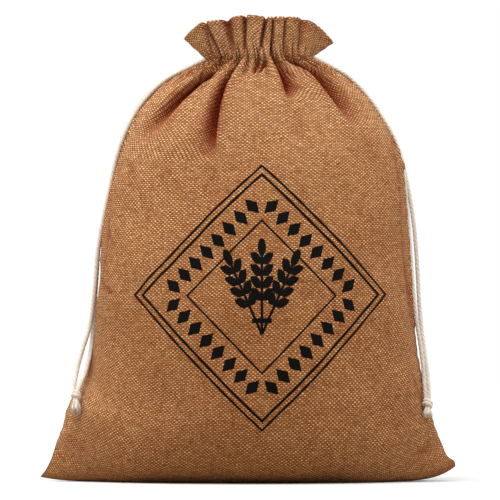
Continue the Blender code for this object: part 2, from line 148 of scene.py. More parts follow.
BACK_PLEATS = (
    (-0.0430, -0.0300, -0.0480, 0.378, -0.0740, 0.346, 0.0040, 0.0044, 0.0060, 0.0036, 0.0022, 0.0070, 0.3),
    (-0.0250, -0.0180, -0.0340, 0.366, -0.0480, 0.314, 0.0066, 0.0058, 0.0104, 0.0028, 0.0022, 0.0084, -0.4),
    (-0.0070, -0.0050, -0.0120, 0.372, -0.0140, 0.344, 0.0070, 0.0060, 0.0090, 0.0032, 0.0024, 0.0060, 0.0),
    (0.0110, 0.0080, 0.0100, 0.350, 0.0180, 0.284, 0.0074, 0.0060, 0.0136, 0.0024, 0.0022, 0.0094, 0.3),
    (0.0270, 0.0210, 0.0340, 0.372, 0.0420, 0.346, 0.0052, 0.0056, 0.0076, 0.0026, 0.0020, 0.0056, -0.3),
    (0.0440, 0.0350, 0.0800, 0.368, 0.1050, 0.296, 0.0060, 0.0052, 0.0112, 0.0030, 0.0024, 0.0120, 0.1),
    (0.0580, 0.0470, 0.0620, 0.384, 0.0800, 0.370, 0.0036, 0.0040, 0.0036, 0.0034, 0.0022, 0.0050, 0.0),
)
PLEAT_SAMPLES = 90
# part of a body fold's way over which it opens, and the powers with which it widens and fades
PLEAT_OPENING = 0.45
PLEAT_WIDENING_POWER = 1.15
PLEAT_FADING_POWER = 2
# share of a fold's half width that is used, and of its leaned depth that slides over the valley
FOLD_SHARPNESS = 0.80
FOLD_TUCK = 0.50
# painted shade, red brown, in a valley: its width in half widths, and the depth at which it is full
VALLEY_SHADE_SHARE = 1.3
VALLEY_SHADE_DEPTH = 0.0100
# the swell beside a valley: its height in depths and its width in half widths
BANK_SHARE = 0.32
BANK_REACH = 2.3
# everything fades towards the seams by this power
EDGE_FADE_POWER = 8

# Lesser creases, seen from the front: from "start" past "bend" to "end". Depth is
# positive for a trough and negative for a ridge, width is its half width.
CREASE_COLUMNS = (
    "start_x", "start_z", "bend_x", "bend_z", "end_x", "end_z", "depth", "width", "lean")
FRONT_CREASES = (
    # short gathers below the neck
    (-0.0300, 0.3860, -0.0500, 0.3790, -0.0720, 0.3620, 0.0026, 0.0022, 0.2),
    (-0.0230, 0.3860, -0.0360, 0.3790, -0.0460, 0.3660, 0.0030, 0.0018, 0.2),
    (-0.0170, 0.3870, -0.0330, 0.3740, -0.0460, 0.3540, 0.0032, 0.0024, 0.2),
    (-0.0080, 0.3860, -0.0160, 0.3760, -0.0190, 0.3640, 0.0034, 0.0018, 0.0),
    (0.0020, 0.3870, -0.0010, 0.3780, -0.0050, 0.3700, 0.0030, 0.0016, 0.0),
    (0.0160, 0.3860, 0.0180, 0.3780, 0.0180, 0.3660, 0.0028, 0.0018, 0.0),
    (0.0250, 0.3860, 0.0340, 0.3780, 0.0440, 0.3640, 0.0030, 0.0018, 0.0),
    (0.0380, 0.3860, 0.0560, 0.3770, 0.0740, 0.3600, 0.0032, 0.0022, -0.2),
    (0.0440, 0.3870, 0.0640, 0.3820, 0.0820, 0.3680, 0.0026, 0.0018, 0.0),
    # the pit at the middle of the neck, with its tiny ridge
    (0.0086, 0.3870, 0.0072, 0.3800, 0.0048, 0.3725, 0.0068, 0.0019, 0.0),
    (0.0146, 0.3870, 0.0142, 0.3790, 0.0086, 0.3730, 0.0064, 0.0019, 0.0),
    # long soft troughs over the belly
    (-0.1110, 0.2960, -0.1060, 0.2800, -0.1010, 0.2600, 0.0016, 0.0046, 0.0),
    (-0.0330, 0.2900, -0.0300, 0.2700, -0.0340, 0.2460, 0.0014, 0.0060, 0.0),
    (0.0385, 0.3470, 0.0450, 0.3300, 0.0480, 0.3060, 0.0016, 0.0064, 0.0),
    (0.1020, 0.3200, 0.1110, 0.3060, 0.1150, 0.2860, 0.0015, 0.0060, 0.0),
    # puckers that run in from the left seam
    (-0.1245, 0.2640, -0.1300, 0.2200, -0.1342, 0.1720, 0.0026, 0.0013, 0.0),
    (-0.1345, 0.1770, -0.1258, 0.1740, -0.1190, 0.1680, 0.0026, 0.0015, 0.0),
    # the crease that runs down beside the right seam, and the one by the knot
    (0.1270, 0.3260, 0.1395, 0.2980, 0.1400, 0.2300, 0.0030, 0.0014, 0.0),
    (0.1402, 0.2420, 0.1430, 0.1900, 0.1520, 0.1230, 0.0030, 0.0015, 0.0),
    (0.1490, 0.0980, 0.1540, 0.0860, 0.1620, 0.0660, 0.0018, 0.0018, 0.3),
    # puckers by the left seam
    (-0.1310, 0.2350, -0.1260, 0.2240, -0.1230, 0.2080, 0.0016, 0.0020, 0.0),
    (-0.1390, 0.1850, -0.1300, 0.1780, -0.1240, 0.1660, 0.0014, 0.0022, 0.0),
    (-0.1440, 0.1180, -0.1410, 0.1060, -0.1470, 0.0900, 0.0022, 0.0018, -0.3),
    (-0.1710, 0.0420, -0.1600, 0.0380, -0.1480, 0.0240, 0.0020, 0.0034, 0.0),
    (0.1740, 0.0350, 0.1660, 0.0300, 0.1500, 0.0200, 0.0018, 0.0036, 0.0),
)
BACK_CREASES = (
    (-0.0560, 0.3820, -0.0820, 0.3640, -0.0980, 0.3300, 0.0022, 0.0050, 0.0),
    (-0.0120, 0.3440, -0.0080, 0.3160, -0.0160, 0.2800, 0.0020, 0.0060, 0.0),
    (0.0180, 0.2860, 0.0260, 0.2500, 0.0240, 0.2160, 0.0018, 0.0080, 0.0),
    (0.0600, 0.3780, 0.0920, 0.3560, 0.1120, 0.3200, 0.0024, 0.0050, 0.0),
    (-0.1250, 0.1500, -0.0900, 0.1240, -0.0400, 0.1200, 0.0016, 0.0090, 0.0),
    (0.1300, 0.1300, 0.1000, 0.1060, 0.0600, 0.1000, 0.0016, 0.0080, 0.0),
    (-0.1700, 0.0420, -0.1560, 0.0360, -0.1420, 0.0220, 0.0020, 0.0036, 0.0),
    (0.1720, 0.0380, 0.1600, 0.0300, 0.1420, 0.0210, 0.0020, 0.0036, 0.0),
)
CREASE_SAMPLES = 40
CREASE_FADE_POWER = 0.7
CREASE_SHADE_DEPTH = 0.0060

PANELS = (
    # name, side, pleats, creases, phase of its swells and puckers
    ("front_cloth", FRONT_SIDE, FRONT_PLEATS, FRONT_CREASES, 0.4),
    ("back_cloth", BACK_SIDE, BACK_PLEATS, BACK_CREASES, 1.9),
)

# The small gathers that the cord draws into the neck: their level is the share of the
# depth that is taken off, their slits get painted shade by a share and a power, and they
# reach above and below the neck, further below it at some places and towards the seams
GATHERS_TO_A_HALF = 12
GATHER_DEPTH = 0.0056
GATHER_LEVEL = 0.46
GATHER_SHADE_POWER = 3.0
GATHER_SHADE = 0.5
GATHER_ABOVE = 0.0130
GATHER_BELOW = 0.0165
GATHER_UNEVEN = 0.55
GATHER_UNEVEN_PACE = 2.3
GATHER_SIDES = 0.5
GATHER_JITTER = (
    # size, pace and start of each wave that moves the gathers
    (0.30, 1.7, 0.6),
    (0.18, 4.1, 2.0),
)

# The roll of the casing, with the cord inside, round the neck
CASING_HEIGHT = 0.0008
CASING_RISE = 0.4830
CASING_REACH = 0.0042

# Round backs of the ruffle's pleats: a share of their width up to a limit, which grows
# towards the hem by a power. Where the hem is pushed in, it dips by a share of that.
RUFFLE_PUFF = 0.28
RUFFLE_PUFF_LIMIT = 0.0034
RUFFLE_PUFF_POWER = 0.8
RUFFLE_LEAST_WIDTH = 0.0001
HEM_DIP = 0.12

# The neck's waist is rounded within this rise of it, and above it the folds' push turns
# level over a run
NECK_EASE = 0.0045
NECK_EASE_PASSES = 6
LEVEL_PUSH_RUN = 0.012

# Side seams: how far the rounded side stands out past the seam, row by row, and
# the puckers beside it
EDGE_COLUMNS = ("rise", "left", "right")
EDGE_REACH = (
    (0.090, 0.0000, 0.0000),
    (0.115, 0.0022, 0.0010),
    (0.146, 0.0028, 0.0016),
    (0.181, 0.0012, 0.0022),
    (0.220, -0.0010, 0.0048),
    (0.250, -0.0004, 0.0046),
    (0.280, 0.0018, 0.0040),
    (0.321, 0.0044, 0.0028),
    (0.363, 0.0031, 0.0046),
    (0.402, 0.0044, 0.0026),
    (0.438, 0.0028, 0.0030),
    (0.462, 0.0028, 0.0018),
    (0.475, 0.0016, 0.0014),
    (0.480, 0.0000, 0.0000),
)
EDGE_WIDTH = 0.0060
SEAM_REACH = 0.0022
PUCKER_HEIGHT = 0.0007
PUCKER_REACH = 0.0090
PUCKER_LENGTHS = (0.0137, 0.0213, 0.0341)
SEAM_WANDER = 0.0005
SEAM_WANDER_PHASE = 0.7

# Slow unevenness of the filled cloth, and the rise from which it and the puckers start
SWELL_HEIGHT = 0.0007
SWELLS = (
    # size, radians a metre across and up, times the panel's phase
    (1.0, 61.0, 37.0, 1.0),
    (1.0, 43.0, -71.0, 2.0),
    (0.6, 131.0, 97.0, 3.0),
)
FREE_RISE = 0.05
FREE_RUN = 0.03

# The turned hem: the share of its width over which it thickens, and the share of its
# extra thickness that stands out in front
HEM_STEP = 0.35
HEM_OUTSIDE = 0.35

# The weave on the cloth: cloth hidden in the valleys and everywhere, the rise where the
# ruffle's fan begins, the lean of the upright threads below a rise, and the slow wave of
# the level ones
VALLEY_CLOTH = 0.8
VALLEY_SLACK = 0.02
FAN_RISE = 0.452
WARP_LEAN = 0.080
LEAN_RISE = 0.400
WEFT_TILT = math.radians(4.0)
WEFT_LEVEL_RISE = 0.17
WEFT_WAVE = 0.42

# Painted light: sides, tops and the ruffle are painted lighter by the way they face, from a
# little below the neck, and the painted shade of a valley takes a share of it
PAINTED_LIGHT_SIDES = 0.30
PAINTED_LIGHT_TOPS = 1.1
PAINTED_LIGHT_LIMIT = 0.75
PAINTED_LIGHT_RUFFLE = 1.0
PAINTED_LIGHT_START = NECK_RISE - 0.012
PAINTED_LIGHT_RUN = 0.014
PAINTED_LIGHT_LOSS = 0.8

# Threads in the finish: how finely they wander, the thinnest half width and what the
# fattest adds, in shares of the pitch, and a height's base, roundness and lift
WANDER_SCALE = 110.0
THREAD_HALF_WIDTH = 0.29
THREAD_FATTENING = 0.22
THREAD_BASE = 0.22
THREAD_ROUNDNESS = 0.40
THREAD_LIFT = 0.38
# a thread is there above this roundness, and the higher one shows; each is an edge with
# the width of its softness
THREAD_EDGE = (0.10, 0.10)
SHOWING_EDGE = (0.0, 0.05)
# places in the noise that gives each thread its tone and its fatness
TONE_APART = 7.31
TONE_START = 3.0
TONE_WEFT = 50.0
TONE_ALONG = 0.22
FAT_ALONG = 0.7
FAT_PLANE = 5.0
# tones of the four colours of the fibres, then edges of patches, of the painted shade below the crowns and of
# the painted shade in the openings
THREAD_TONES = (0.28, 0.42, 0.55, 0.70)
PATCH_SCALE = 11.0
PATCH_EDGE = (0.52, 0.20)
CROWN_SOFTNESS = 0.30
OPENING_EDGE = (0.22, 0.16)
# roughness of the darkest fibres and what the palest lose of it
FIBRE_ROUGHNESS = 0.94
FIBRE_SMOOTHING = 0.12
# ink is a little weaker in the openings
INK_EDGE = (0.25, 0.20)
INK_LOSS = 0.07

# The cotton's fibres, round the cord and along it, and the painted shade in its grooves
COTTON_TWISTS = 9.0
COTTON_PACE = 260.0
COTTON_EDGE = (0.50, 0.20)
COTTON_GROOVE_EDGE = (0.22, 0.20)
COTTON_GROOVE_SHADE = 0.5
COTTON_RELIEF = 0.0004

# The print. Its lines and lozenges are placed by their distance in from the frame's
# outer edge, and the sheaf by its foot below the middle
PRINT_BLUR = 0.0002
STALK_BLUR = 0.0003
ELLIPSE_BLUR = 0.12
FRAME_LINES = ((0.0030, 0.0000), (0.0118, 0.0084), (0.0545, 0.0520))
LOZENGE_PITCH = 0.0205
LOZENGE_HALF = 0.0080
LOZENGE_LENGTHENING = 0.62
LOZENGE_ROW = 0.0320
LOZENGE_END = 0.0360
SHEAF_FOOT = -0.034
EARS = (
    # lean, length of the bare stalk
    (0.0, 0.030),
    (math.radians(24.0), 0.027),
)
STALK_WIDE = 0.0012
GRAIN_PAIRS = 4
GRAIN_PITCH = 0.0108
GRAIN_LONG = 0.0082
GRAIN_WIDE = 0.0037
GRAIN_REACH = 0.72
GRAIN_OUT = 0.62
GRAIN_TILT = math.radians(32.0)
CROWN_OUT = 0.55
TIE_ABOVE_FOOT = 0.012
TIE_HALF_HIGH = 0.0022
TIE_HALF_WIDE = 0.0088

# Cord strands: their routes from the casing at the neck to the knot
CORD_ROUTES = {
    "cord_left_front": (
        (-0.0438, -0.0022, 0.3862), (-0.0568, -0.0022, 0.3800), (-0.0730, -0.0022, 0.3716),
        (-0.0868, -0.0022, 0.3606), (-0.0984, -0.0022, 0.3474), (-0.1082, -0.0022, 0.3315),
        (-0.1155, -0.0022, 0.3158), (-0.1213, -0.0022, 0.2985), (-0.1254, -0.0022, 0.2809),
        (-0.1291, -0.0022, 0.2634), (-0.1329, -0.0022, 0.2455), (-0.1363, -0.0022, 0.2275),
        (-0.1389, -0.0023, 0.2100), (-0.1404, -0.0024, 0.1900), (-0.1428, -0.0027, 0.1650),
        (-0.1459, -0.0036, 0.1420), (-0.1518, -0.0056, 0.1220), (-0.1566, -0.0092, 0.1040),
        (-0.1593, -0.0164, 0.0850), (-0.1590, -0.0176, 0.0805)),
    "cord_left_back": (
        (-0.0438, 0.0022, 0.3862), (-0.0574, 0.0022, 0.3802), (-0.0740, 0.0022, 0.3718),
        (-0.0889, 0.0022, 0.3606), (-0.1006, 0.0022, 0.3474), (-0.1090, 0.0022, 0.3315),
        (-0.1157, 0.0022, 0.3158), (-0.1213, 0.0022, 0.2985), (-0.1254, 0.0022, 0.2809),
        (-0.1291, 0.0022, 0.2634), (-0.1329, 0.0022, 0.2455), (-0.1362, 0.0022, 0.2275),
        (-0.1385, 0.0021, 0.2100), (-0.1397, 0.0019, 0.1900), (-0.1413, 0.0015, 0.1650),
        (-0.1428, 0.0002, 0.1420), (-0.1446, -0.0030, 0.1220), (-0.1481, -0.0090, 0.1040),
        (-0.1546, -0.0166, 0.0854), (-0.1560, -0.0174, 0.0805)),
    "cord_right_front": (
        (0.0638, -0.0022, 0.3880), (0.0752, -0.0022, 0.3824), (0.0909, -0.0022, 0.3734),
        (0.1039, -0.0022, 0.3612), (0.1153, -0.0022, 0.3471), (0.1247, -0.0022, 0.3325),
        (0.1337, -0.0022, 0.3165), (0.1400, -0.0022, 0.2994), (0.1430, -0.0022, 0.2816),
        (0.1448, -0.0022, 0.2642), (0.1464, -0.0022, 0.2461), (0.1477, -0.0022, 0.2283),
        (0.1490, -0.0023, 0.2100), (0.1503, -0.0025, 0.1900), (0.1524, -0.0030, 0.1640),
        (0.1553, -0.0038, 0.1420), (0.1586, -0.0052, 0.1200), (0.1607, -0.0066, 0.0990),
        (0.1622, -0.0105, 0.0785), (0.1628, -0.0114, 0.0735)),
    "cord_right_back": (
        (0.0638, 0.0022, 0.3880), (0.0752, 0.0022, 0.3824), (0.0909, 0.0022, 0.3734),
        (0.1039, 0.0022, 0.3612), (0.1153, 0.0022, 0.3471), (0.1247, 0.0022, 0.3325),
        (0.1337, 0.0022, 0.3165), (0.1403, 0.0022, 0.2994), (0.1447, 0.0022, 0.2816),
        (0.1482, 0.0022, 0.2642), (0.1511, 0.0021, 0.2461), (0.1532, 0.0019, 0.2283),
        (0.1546, 0.0016, 0.2100), (0.1558, 0.0011, 0.1900), (0.1571, 0.0004, 0.1640),
        (0.1589, -0.0006, 0.1420), (0.1615, -0.0026, 0.1200), (0.1641, -0.0056, 0.0990),
        (0.1655, -0.0105, 0.0785), (0.1650, -0.0114, 0.0735)),
}
CORD_RINGS_TO_A_METRE = 1500
CORD_SIDES = 18
CORD_PLIES = 3
CORD_PLY_DEPTH = 0.16
CORD_TUCK = 0.0055

# Knots: each joins the two strands of its side
KNOTS = {
    # name: strands, middle of its top, swing of the tail forward in degrees, tail length
    "knot_left": (("cord_left_front", "cord_left_back"), (-0.1574, -0.0170, 0.0836), 25.0, 0.0152),
    "knot_right": (("cord_right_front", "cord_right_back"), (0.1639, -0.0109, 0.0762), 20.0, 0.0098),
}
KNOT_HEIGHT = 0.0102
KNOT_DEPTH_SHARE = 0.86
# the wraps: a helix that bulges by a power, with a wave in its pitch
KNOT_LOOP_RADIUS = 0.0032
KNOT_TURNS = 2.35
KNOT_START_TURN = 0.6
KNOT_BULGE_POWER = 0.35
KNOT_TOP = 0.0018
KNOT_FOOT = 0.0016
KNOT_WAVE = 0.0010
KNOT_WAVE_START = 0.9
KNOT_STRAND_THIN = 0.62
KNOT_STRAND_POWER = 0.3
KNOT_SIDES = 14
KNOT_RINGS = 150
# the core, from the knot's top into the tail: part of its length, radius
CORE_PROFILE = (
    (0.00, 0.0016), (0.12, 0.0028), (0.30, 0.0029), (0.42, 0.0026),
    (0.55, 0.0028), (0.75, 0.0035), (0.92, 0.0041), (1.00, 0.0036))
CORE_TAIL_SHARE = 0.62
CORE_RINGS = 40
CORE_SIDES = 30
CORE_RIB_DEPTH = 0.10
CORE_RIB_DEEPENING = 0.22
CORE_RIB_PACE = 2.5
CORE_RIB_TWIST = 2.2
# the tail's loose fibres
TAIL_FIBRES = 145
TAIL_FIBRE_RADIUS = 0.00024
TAIL_FIBRE_RINGS = 7
TAIL_FIBRE_SIDES = 3
TAIL_FIBRE_TAPER = 0.6
TAIL_LENGTHS = (0.70, 1.10)
TAIL_CURL = 0.0007
TAIL_SPREAD = 0.0046
TAIL_SPREAD_POWER = 1.2
TAIL_ROOT = 0.0023
TAIL_INNERMOST = 0.05
TAIL_SEED = 11

# Directions off the path of the strands and of the knots' wraps
BACKWARD = (0.0, 1.0, 0.0)
UPWARD = (0.0, 0.0, 1.0)

# Stage
FLOOR_REACH = 14.0
SENSOR_WIDTH = 36.0
LIGHTS = (
    # name, setting of its strength, direction in which it shines
    ("top_light", "top_strength", (0.10, 0.30, -1.00)),
    ("left_light", "side_strength", (1.00, 0.00, -0.12)),
    ("right_light", "side_strength", (-1.00, 0.00, -0.12)),
)


def columns(names, rows):
    """A short table as one array for each named column."""
    return {name: np.array(values) for name, values in zip(names, zip(*rows))}


STATION = columns(STATION_COLUMNS, STATIONS)
EDGE = columns(EDGE_COLUMNS, EDGE_REACH)
HEM_EDGE = columns(HEM_COLUMNS, HEM)
CORE = columns(("part", "radius"), CORE_PROFILE)


# ---------------------------------------------------------------- shapes


def share(value, start, run):
    """How far a value has gone along a run from its start, held between 0 and 1."""
    return np.clip((value - start) / run, 0.0, 1.0)


def partway(low, high, part):
    """The value that lies a part of the way from one value to another."""
    return low + (high - low) * part


def ease(part):
    """Smooth step: held between 0 and 1, three squares less two cubes."""
    part = np.clip(part, 0.0, 1.0)
    return part * part * (3.0 - 2.0 * part)


def bell(distance, reach):
    """Bell curve: 1 at no distance, 1 / e at the reach."""
    return np.exp(-(distance / reach) ** 2)


def unit(vectors):
    """Vectors brought to a length of 1."""
    return vectors / np.linalg.norm(vectors, axis=-1, keepdims=True)


def run_along(path):
    """Length along a path, from its first point to each point."""
    return np.concatenate([[0.0], np.cumsum(np.linalg.norm(np.diff(path, axis=0), axis=1))])


def smooth_curve(keys, values, at):
    """Cubic curve through a table's points that never overshoots them.

    Between two points the value eases from one to the other, and the slopes at both are
    blended in. A point's slope is the harmonic mean of the rates beside it, or nothing
    where they turn."""
    step = np.diff(keys)
    rate = np.diff(values) / step
    before, after = rate[:-1], rate[1:]
    same_way = before * after > 0
    total = np.where(same_way, before + after, 1.0)
    slope = np.zeros(len(keys))
    slope[1:-1] = np.where(same_way, 2.0 * before * after / total, 0.0)
    slope[0], slope[-1] = rate[0], rate[-1]
    at = np.clip(at, keys[0], keys[-1])
    cell = np.clip(np.searchsorted(keys, at, side="right") - 1, 0, len(keys) - 2)
    part = (at - keys[cell]) / step[cell]
    low, high = values[cell], values[cell + 1]
    return (partway(low, high, ease(part))
            + step[cell] * part * (1.0 - part)
            * (slope[cell] * (1.0 - part) - slope[cell + 1] * part))


def section(across, roundness, taper):
    """Sideways and depthwise share of a lens that turns into an ellipse.

    Sideways is a mix of across and the sine of its quarter turn, depthwise is the
    cosine of that turn raised to the taper."""
    turn = 0.5 * math.pi * across
    sideways = (1.0 - roundness) * across + roundness * np.sin(turn)
    depthwise = np.clip(np.cos(turn), 0.0, 1.0) ** taper
    return sideways, depthwise


def seam_lip(across):
    """Depth of a panel's outer face at the seams: half the gap and a thin folded lip."""
    return -0.5 * PIECE_GAP - SEAM_LIP * np.abs(across) ** SEAM_LIP_POWER


def body_surface(across, rise):
    """Front of the filled sack below the neck, without its folds.

    The seams' middle plus half their distance times the sideways share gives x, the
    belly's depth times the depthwise share gives y, and beyond the level share of the
    width the height goes from the middle's to the seam's by the power "lift"."""
    row = {name: smooth_curve(STATION["rise"], STATION[name], rise) for name in STATION_COLUMNS}
    sideways, depthwise = section(across, row["round"], row["taper"])
    centre = 0.5 * (row["right_x"] + row["left_x"])
    half = 0.5 * (row["right_x"] - row["left_x"])
    outer = share(np.abs(across), row["level"], 1.0 - row["level"])
    seam_z = np.where(across < 0.0, row["left_z"], row["right_z"])
    height = partway(row["mid_z"], seam_z, outer ** row["lift"])
    return centre + half * sideways, seam_lip(across) - row["mid_y"] * depthwise, height


def ruffle_share(rise):
    """How far up the ruffle a rise lies: 0 at the neck, 1 at the hem."""
    return share(rise, NECK_RISE, HEM_RISE - NECK_RISE)


def ruffle_surface(across, rise):
    """Front of the ruffle: straight lines from the neck out to the hem, flared in depth."""
    neck_x, neck_y, neck_z = body_surface(across, np.full_like(rise, NECK_RISE))
    hem_x = smooth_curve(HEM_EDGE["across"], HEM_EDGE["x"], across)
    hem_z = smooth_curve(HEM_EDGE["across"], HEM_EDGE["z"], across)
    depthwise = section(across, RUFFLE_ROUND, RUFFLE_TAPER)[1]
    hem_y = seam_lip(across) - RUFFLE_DEPTH * depthwise
    out = ruffle_share(rise)
    return (partway(neck_x, hem_x, out), partway(neck_y, hem_y, out ** RUFFLE_FLARE_POWER),
            partway(neck_z, hem_z, out))


def panel_surface(across, rise):
    """Front panel without its folds, as an array of points."""
    body = body_surface(across, np.minimum(rise, NECK_RISE))
    ruffle = ruffle_surface(across, rise)
    points = np.stack([np.where(rise > NECK_RISE, b, a) for a, b in zip(body, ruffle)], axis=-1)
    return eased_neck(points, rise)


def eased_neck(points, rise):
    """Rounds the sharp waist of the neck: near it each row moves towards its neighbours' mean."""
    pull = 0.5 * bell(rise - NECK_RISE, NECK_EASE)[:, 1:-1, None]
    for _ in range(NECK_EASE_PASSES):
        bend = points[:, 2:] + points[:, :-2] - 2.0 * points[:, 1:-1]
        points[:, 1:-1] += 0.5 * pull * bend
    return points


def surface_normal(points):
    """Outward unit normals of a grid of points (columns first, then rows)."""
    along = np.gradient(points, axis=0)
    upward = np.gradient(points, axis=1)
    return unit(np.cross(along, upward))


def neck_height(x):
    """Height of the drawn neck's line, which tilts a little."""
    last = {name: STATION[name][-1] for name in STATION_COLUMNS}
    middle = 0.5 * (last["left_x"] + last["right_x"])
    return np.interp(x, (last["left_x"], middle, last["right_x"]),
                     (last["left_z"], last["mid_z"], last["right_z"]))


def bent_line(start, bend, end, part):
    """Points of a quadratic curve from start past bend to end."""
    run = part[:, None]
    return (1.0 - run) ** 2 * start + 2.0 * run * (1.0 - run) * bend + run ** 2 * end


def pleat_line(pleat):
    """Points, depths and half widths along one pleat, from the hem down."""
    neck = np.array([pleat["neck_x"], neck_height(pleat["neck_x"])])
    hem = np.array([pleat["hem_x"], smooth_curve(HEM_EDGE["x"], HEM_EDGE["z"], pleat["hem_x"])])
    bend = np.array([pleat["bend_x"], pleat["bend_z"]])
    end = np.array([pleat["end_x"], pleat["end_z"]])
    part = np.linspace(0.0, 1.0, PLEAT_SAMPLES)
    upper = partway(hem, neck, part[:, None])
    lower = bent_line(neck, bend, end, part)
    opening = ease(part / PLEAT_OPENING)
    fading = np.cos(0.5 * math.pi * part ** PLEAT_FADING_POWER)
    depth = np.concatenate([
        partway(pleat["hem_depth"], pleat["neck_depth"], part[:-1]),
        partway(pleat["neck_depth"], pleat["fold_depth"], opening) * fading])
    fold_width = FOLD_SHARPNESS * pleat["fold_width"]
    width = np.concatenate([
        partway(pleat["hem_width"], pleat["neck_width"], part[:-1]),
        partway(pleat["neck_width"], fold_width, part ** PLEAT_WIDENING_POWER)])
    return np.concatenate([upper[:-1], lower]), depth, width


def beside_line(seen, line):
    """For points seen from the front: the nearest sample of a line, the signed distance
    to it, the distance, and the direction in which the signed distance grows."""
    run = unit(np.gradient(line, axis=0))
    away = seen[..., None, :] - line
    nearest = np.argmin((away ** 2).sum(axis=-1), axis=-1)
    away = seen - line[nearest]
    sideways = np.stack([-run[nearest, 1], run[nearest, 0]], axis=-1)
    return nearest, (away * sideways).sum(axis=-1), np.linalg.norm(away, axis=-1), sideways


def pleat_height(points, pleats):
    """Height that the pleats add, how deep in a valley each point lies, which also gives painted shade, and
    its slide.

    A bell curve of the distance to the pleat's line is pushed in, and a wider, weaker
    one swells the cloth beside it. On the steep side the cloth also slides over the
    valley, so that the fold overhangs it."""
    seen = points[..., (0, 2)]
    height = np.zeros(seen.shape[:-1])
    hollow = np.zeros(seen.shape[:-1])
    slide = np.zeros(seen.shape)
    for values in pleats:
        pleat = dict(zip(PLEAT_COLUMNS, values))
        line, depth, width = pleat_line(pleat)
        nearest, beside, _, sideways = beside_line(seen, line)
        bank = width[nearest] * (1.0 - pleat["lean"] * np.sign(beside))
        deep = depth[nearest]
        swell = bell(beside, BANK_REACH * bank)
        height -= deep * ((1.0 + BANK_SHARE) * bell(beside, bank) - BANK_SHARE * swell)
        # painted shade, a little wider than the valley
        hollow += deep * bell(beside, VALLEY_SHADE_SHARE * bank)
        steep = (beside * np.sign(pleat["lean"]) > 0.0) & (nearest >= PLEAT_SAMPLES)
        crest = np.abs(beside) / bank
        over = FOLD_TUCK * abs(pleat["lean"]) * deep * crest ** 2 * np.exp(1.0 - crest ** 2)
        over = np.where(steep, over, 0.0)
        slide -= (np.sign(beside) * over)[..., None] * sideways
    return height, np.clip(hollow / VALLEY_SHADE_DEPTH, 0.0, 1.0), slide


def crease_height(points, creases):
    """Height that the lesser creases add, and the painted shade in their troughs: a bell
    curve across, a half sine along."""
    seen = points[..., (0, 2)]
    height = np.zeros(seen.shape[:-1])
    hollow = np.zeros(seen.shape[:-1])
    part = np.linspace(0.0, 1.0, CREASE_SAMPLES)
    along = np.sin(math.pi * part) ** CREASE_FADE_POWER
    for values in creases:
        crease = dict(zip(CREASE_COLUMNS, values))
        ends = [np.array([crease[f"{key}_x"], crease[f"{key}_z"]]) for key in ("start", "bend", "end")]
        nearest, beside, distance, _ = beside_line(seen, bent_line(*ends, part))
        bank = crease["width"] * (1.0 - crease["lean"] * np.sign(beside))
        trough = crease["depth"] * along[nearest] * bell(distance, bank)
        height -= trough
        # painted shade in the trough
        hollow += np.maximum(trough, 0.0) / CREASE_SHADE_DEPTH
    return height, np.clip(hollow, 0.0, 1.0)


def gather_height(across, rise):
    """Small gathers of the neck, and the painted shade in the slits between them.

    They are round ridges with sharp valleys that fade above and below the neck. The
    ridge is the sine of its place between two valleys, and the valleys' places wander by
    a slow sum of sines."""
    place = GATHERS_TO_A_HALF * across
    place = place + sum(size * np.sin(pace * place + start) for size, pace, start in GATHER_JITTER)
    ridge = np.abs(np.sin(math.pi * place))
    below = GATHER_BELOW * (
        1.0 + GATHER_UNEVEN * np.sin(GATHER_UNEVEN_PACE * place + 1.0) + GATHER_SIDES * across ** 2)
    near = bell(rise - NECK_RISE, np.where(rise > NECK_RISE, GATHER_ABOVE, below))
    # painted shade in the slits
    slit_shade = GATHER_SHADE * near * (1.0 - ridge) ** GATHER_SHADE_POWER
    return GATHER_DEPTH * near * (ridge - GATHER_LEVEL), slit_shade


def ruffle_puff(points, rise, pleats):
    """Round backs of the ruffle's pleats: a half circle's height between neighbouring valleys."""
    out = ruffle_share(rise)
    lines = sorted((neck_x, hem_x) for hem_x, neck_x, *_ in pleats)
    edges = [(STATION["left_x"][-1], HEM_EDGE["x"][0]), *lines,
             (STATION["right_x"][-1], HEM_EDGE["x"][-1])]
    puff = np.zeros(rise.shape)
    for (neck_a, hem_a), (neck_b, hem_b) in zip(edges[:-1], edges[1:]):
        left = partway(neck_a, hem_a, out)
        wide = np.maximum(partway(neck_b, hem_b, out) - left, RUFFLE_LEAST_WIDTH)
        part = (points[..., 0] - left) / wide
        arc = np.sqrt(np.clip(4.0 * part * (1.0 - part), 0.0, 1.0))
        puff += arc * np.minimum(RUFFLE_PUFF * wide, RUFFLE_PUFF_LIMIT)
    return puff * out ** RUFFLE_PUFF_POWER


def casing_height(rise):
    """The casing's roll: a bell curve of the distance from its middle's rise."""
    return CASING_HEIGHT * bell(rise - CASING_RISE, CASING_REACH)


def wave(at, phase):
    """Uneven wave from three lengths of ripple, between about -1 and 1."""
    return sum(np.sin(2.0 * math.pi * at / length + phase * (k + 1.3)) / (1.0 + 0.5 * k)
               for k, length in enumerate(PUCKER_LENGTHS)) / 2.0


def from_seam(across):
    """Distance of a point from its nearer seam, along the cloth."""
    return (1.0 - np.abs(across)) * 0.5 * SEAM_TO_SEAM


def seam_height(across, rise, phase):
    """Puckers beside the seams, which fade inwards and vanish at the seam itself."""
    away = from_seam(across)
    pucker = PUCKER_HEIGHT * wave(rise, phase + np.sign(across)) * bell(away, PUCKER_REACH)
    return pucker * (1.0 - bell(away, SEAM_REACH))


def edge_reach(across, rise):
    """How far the rounded side stands out sideways: a bell curve inwards from the seam."""
    side = np.where(across < 0.0, -smooth_curve(EDGE["rise"], EDGE["left"], rise),
                    smooth_curve(EDGE["rise"], EDGE["right"], rise))
    return side * bell(from_seam(across), EDGE_WIDTH)


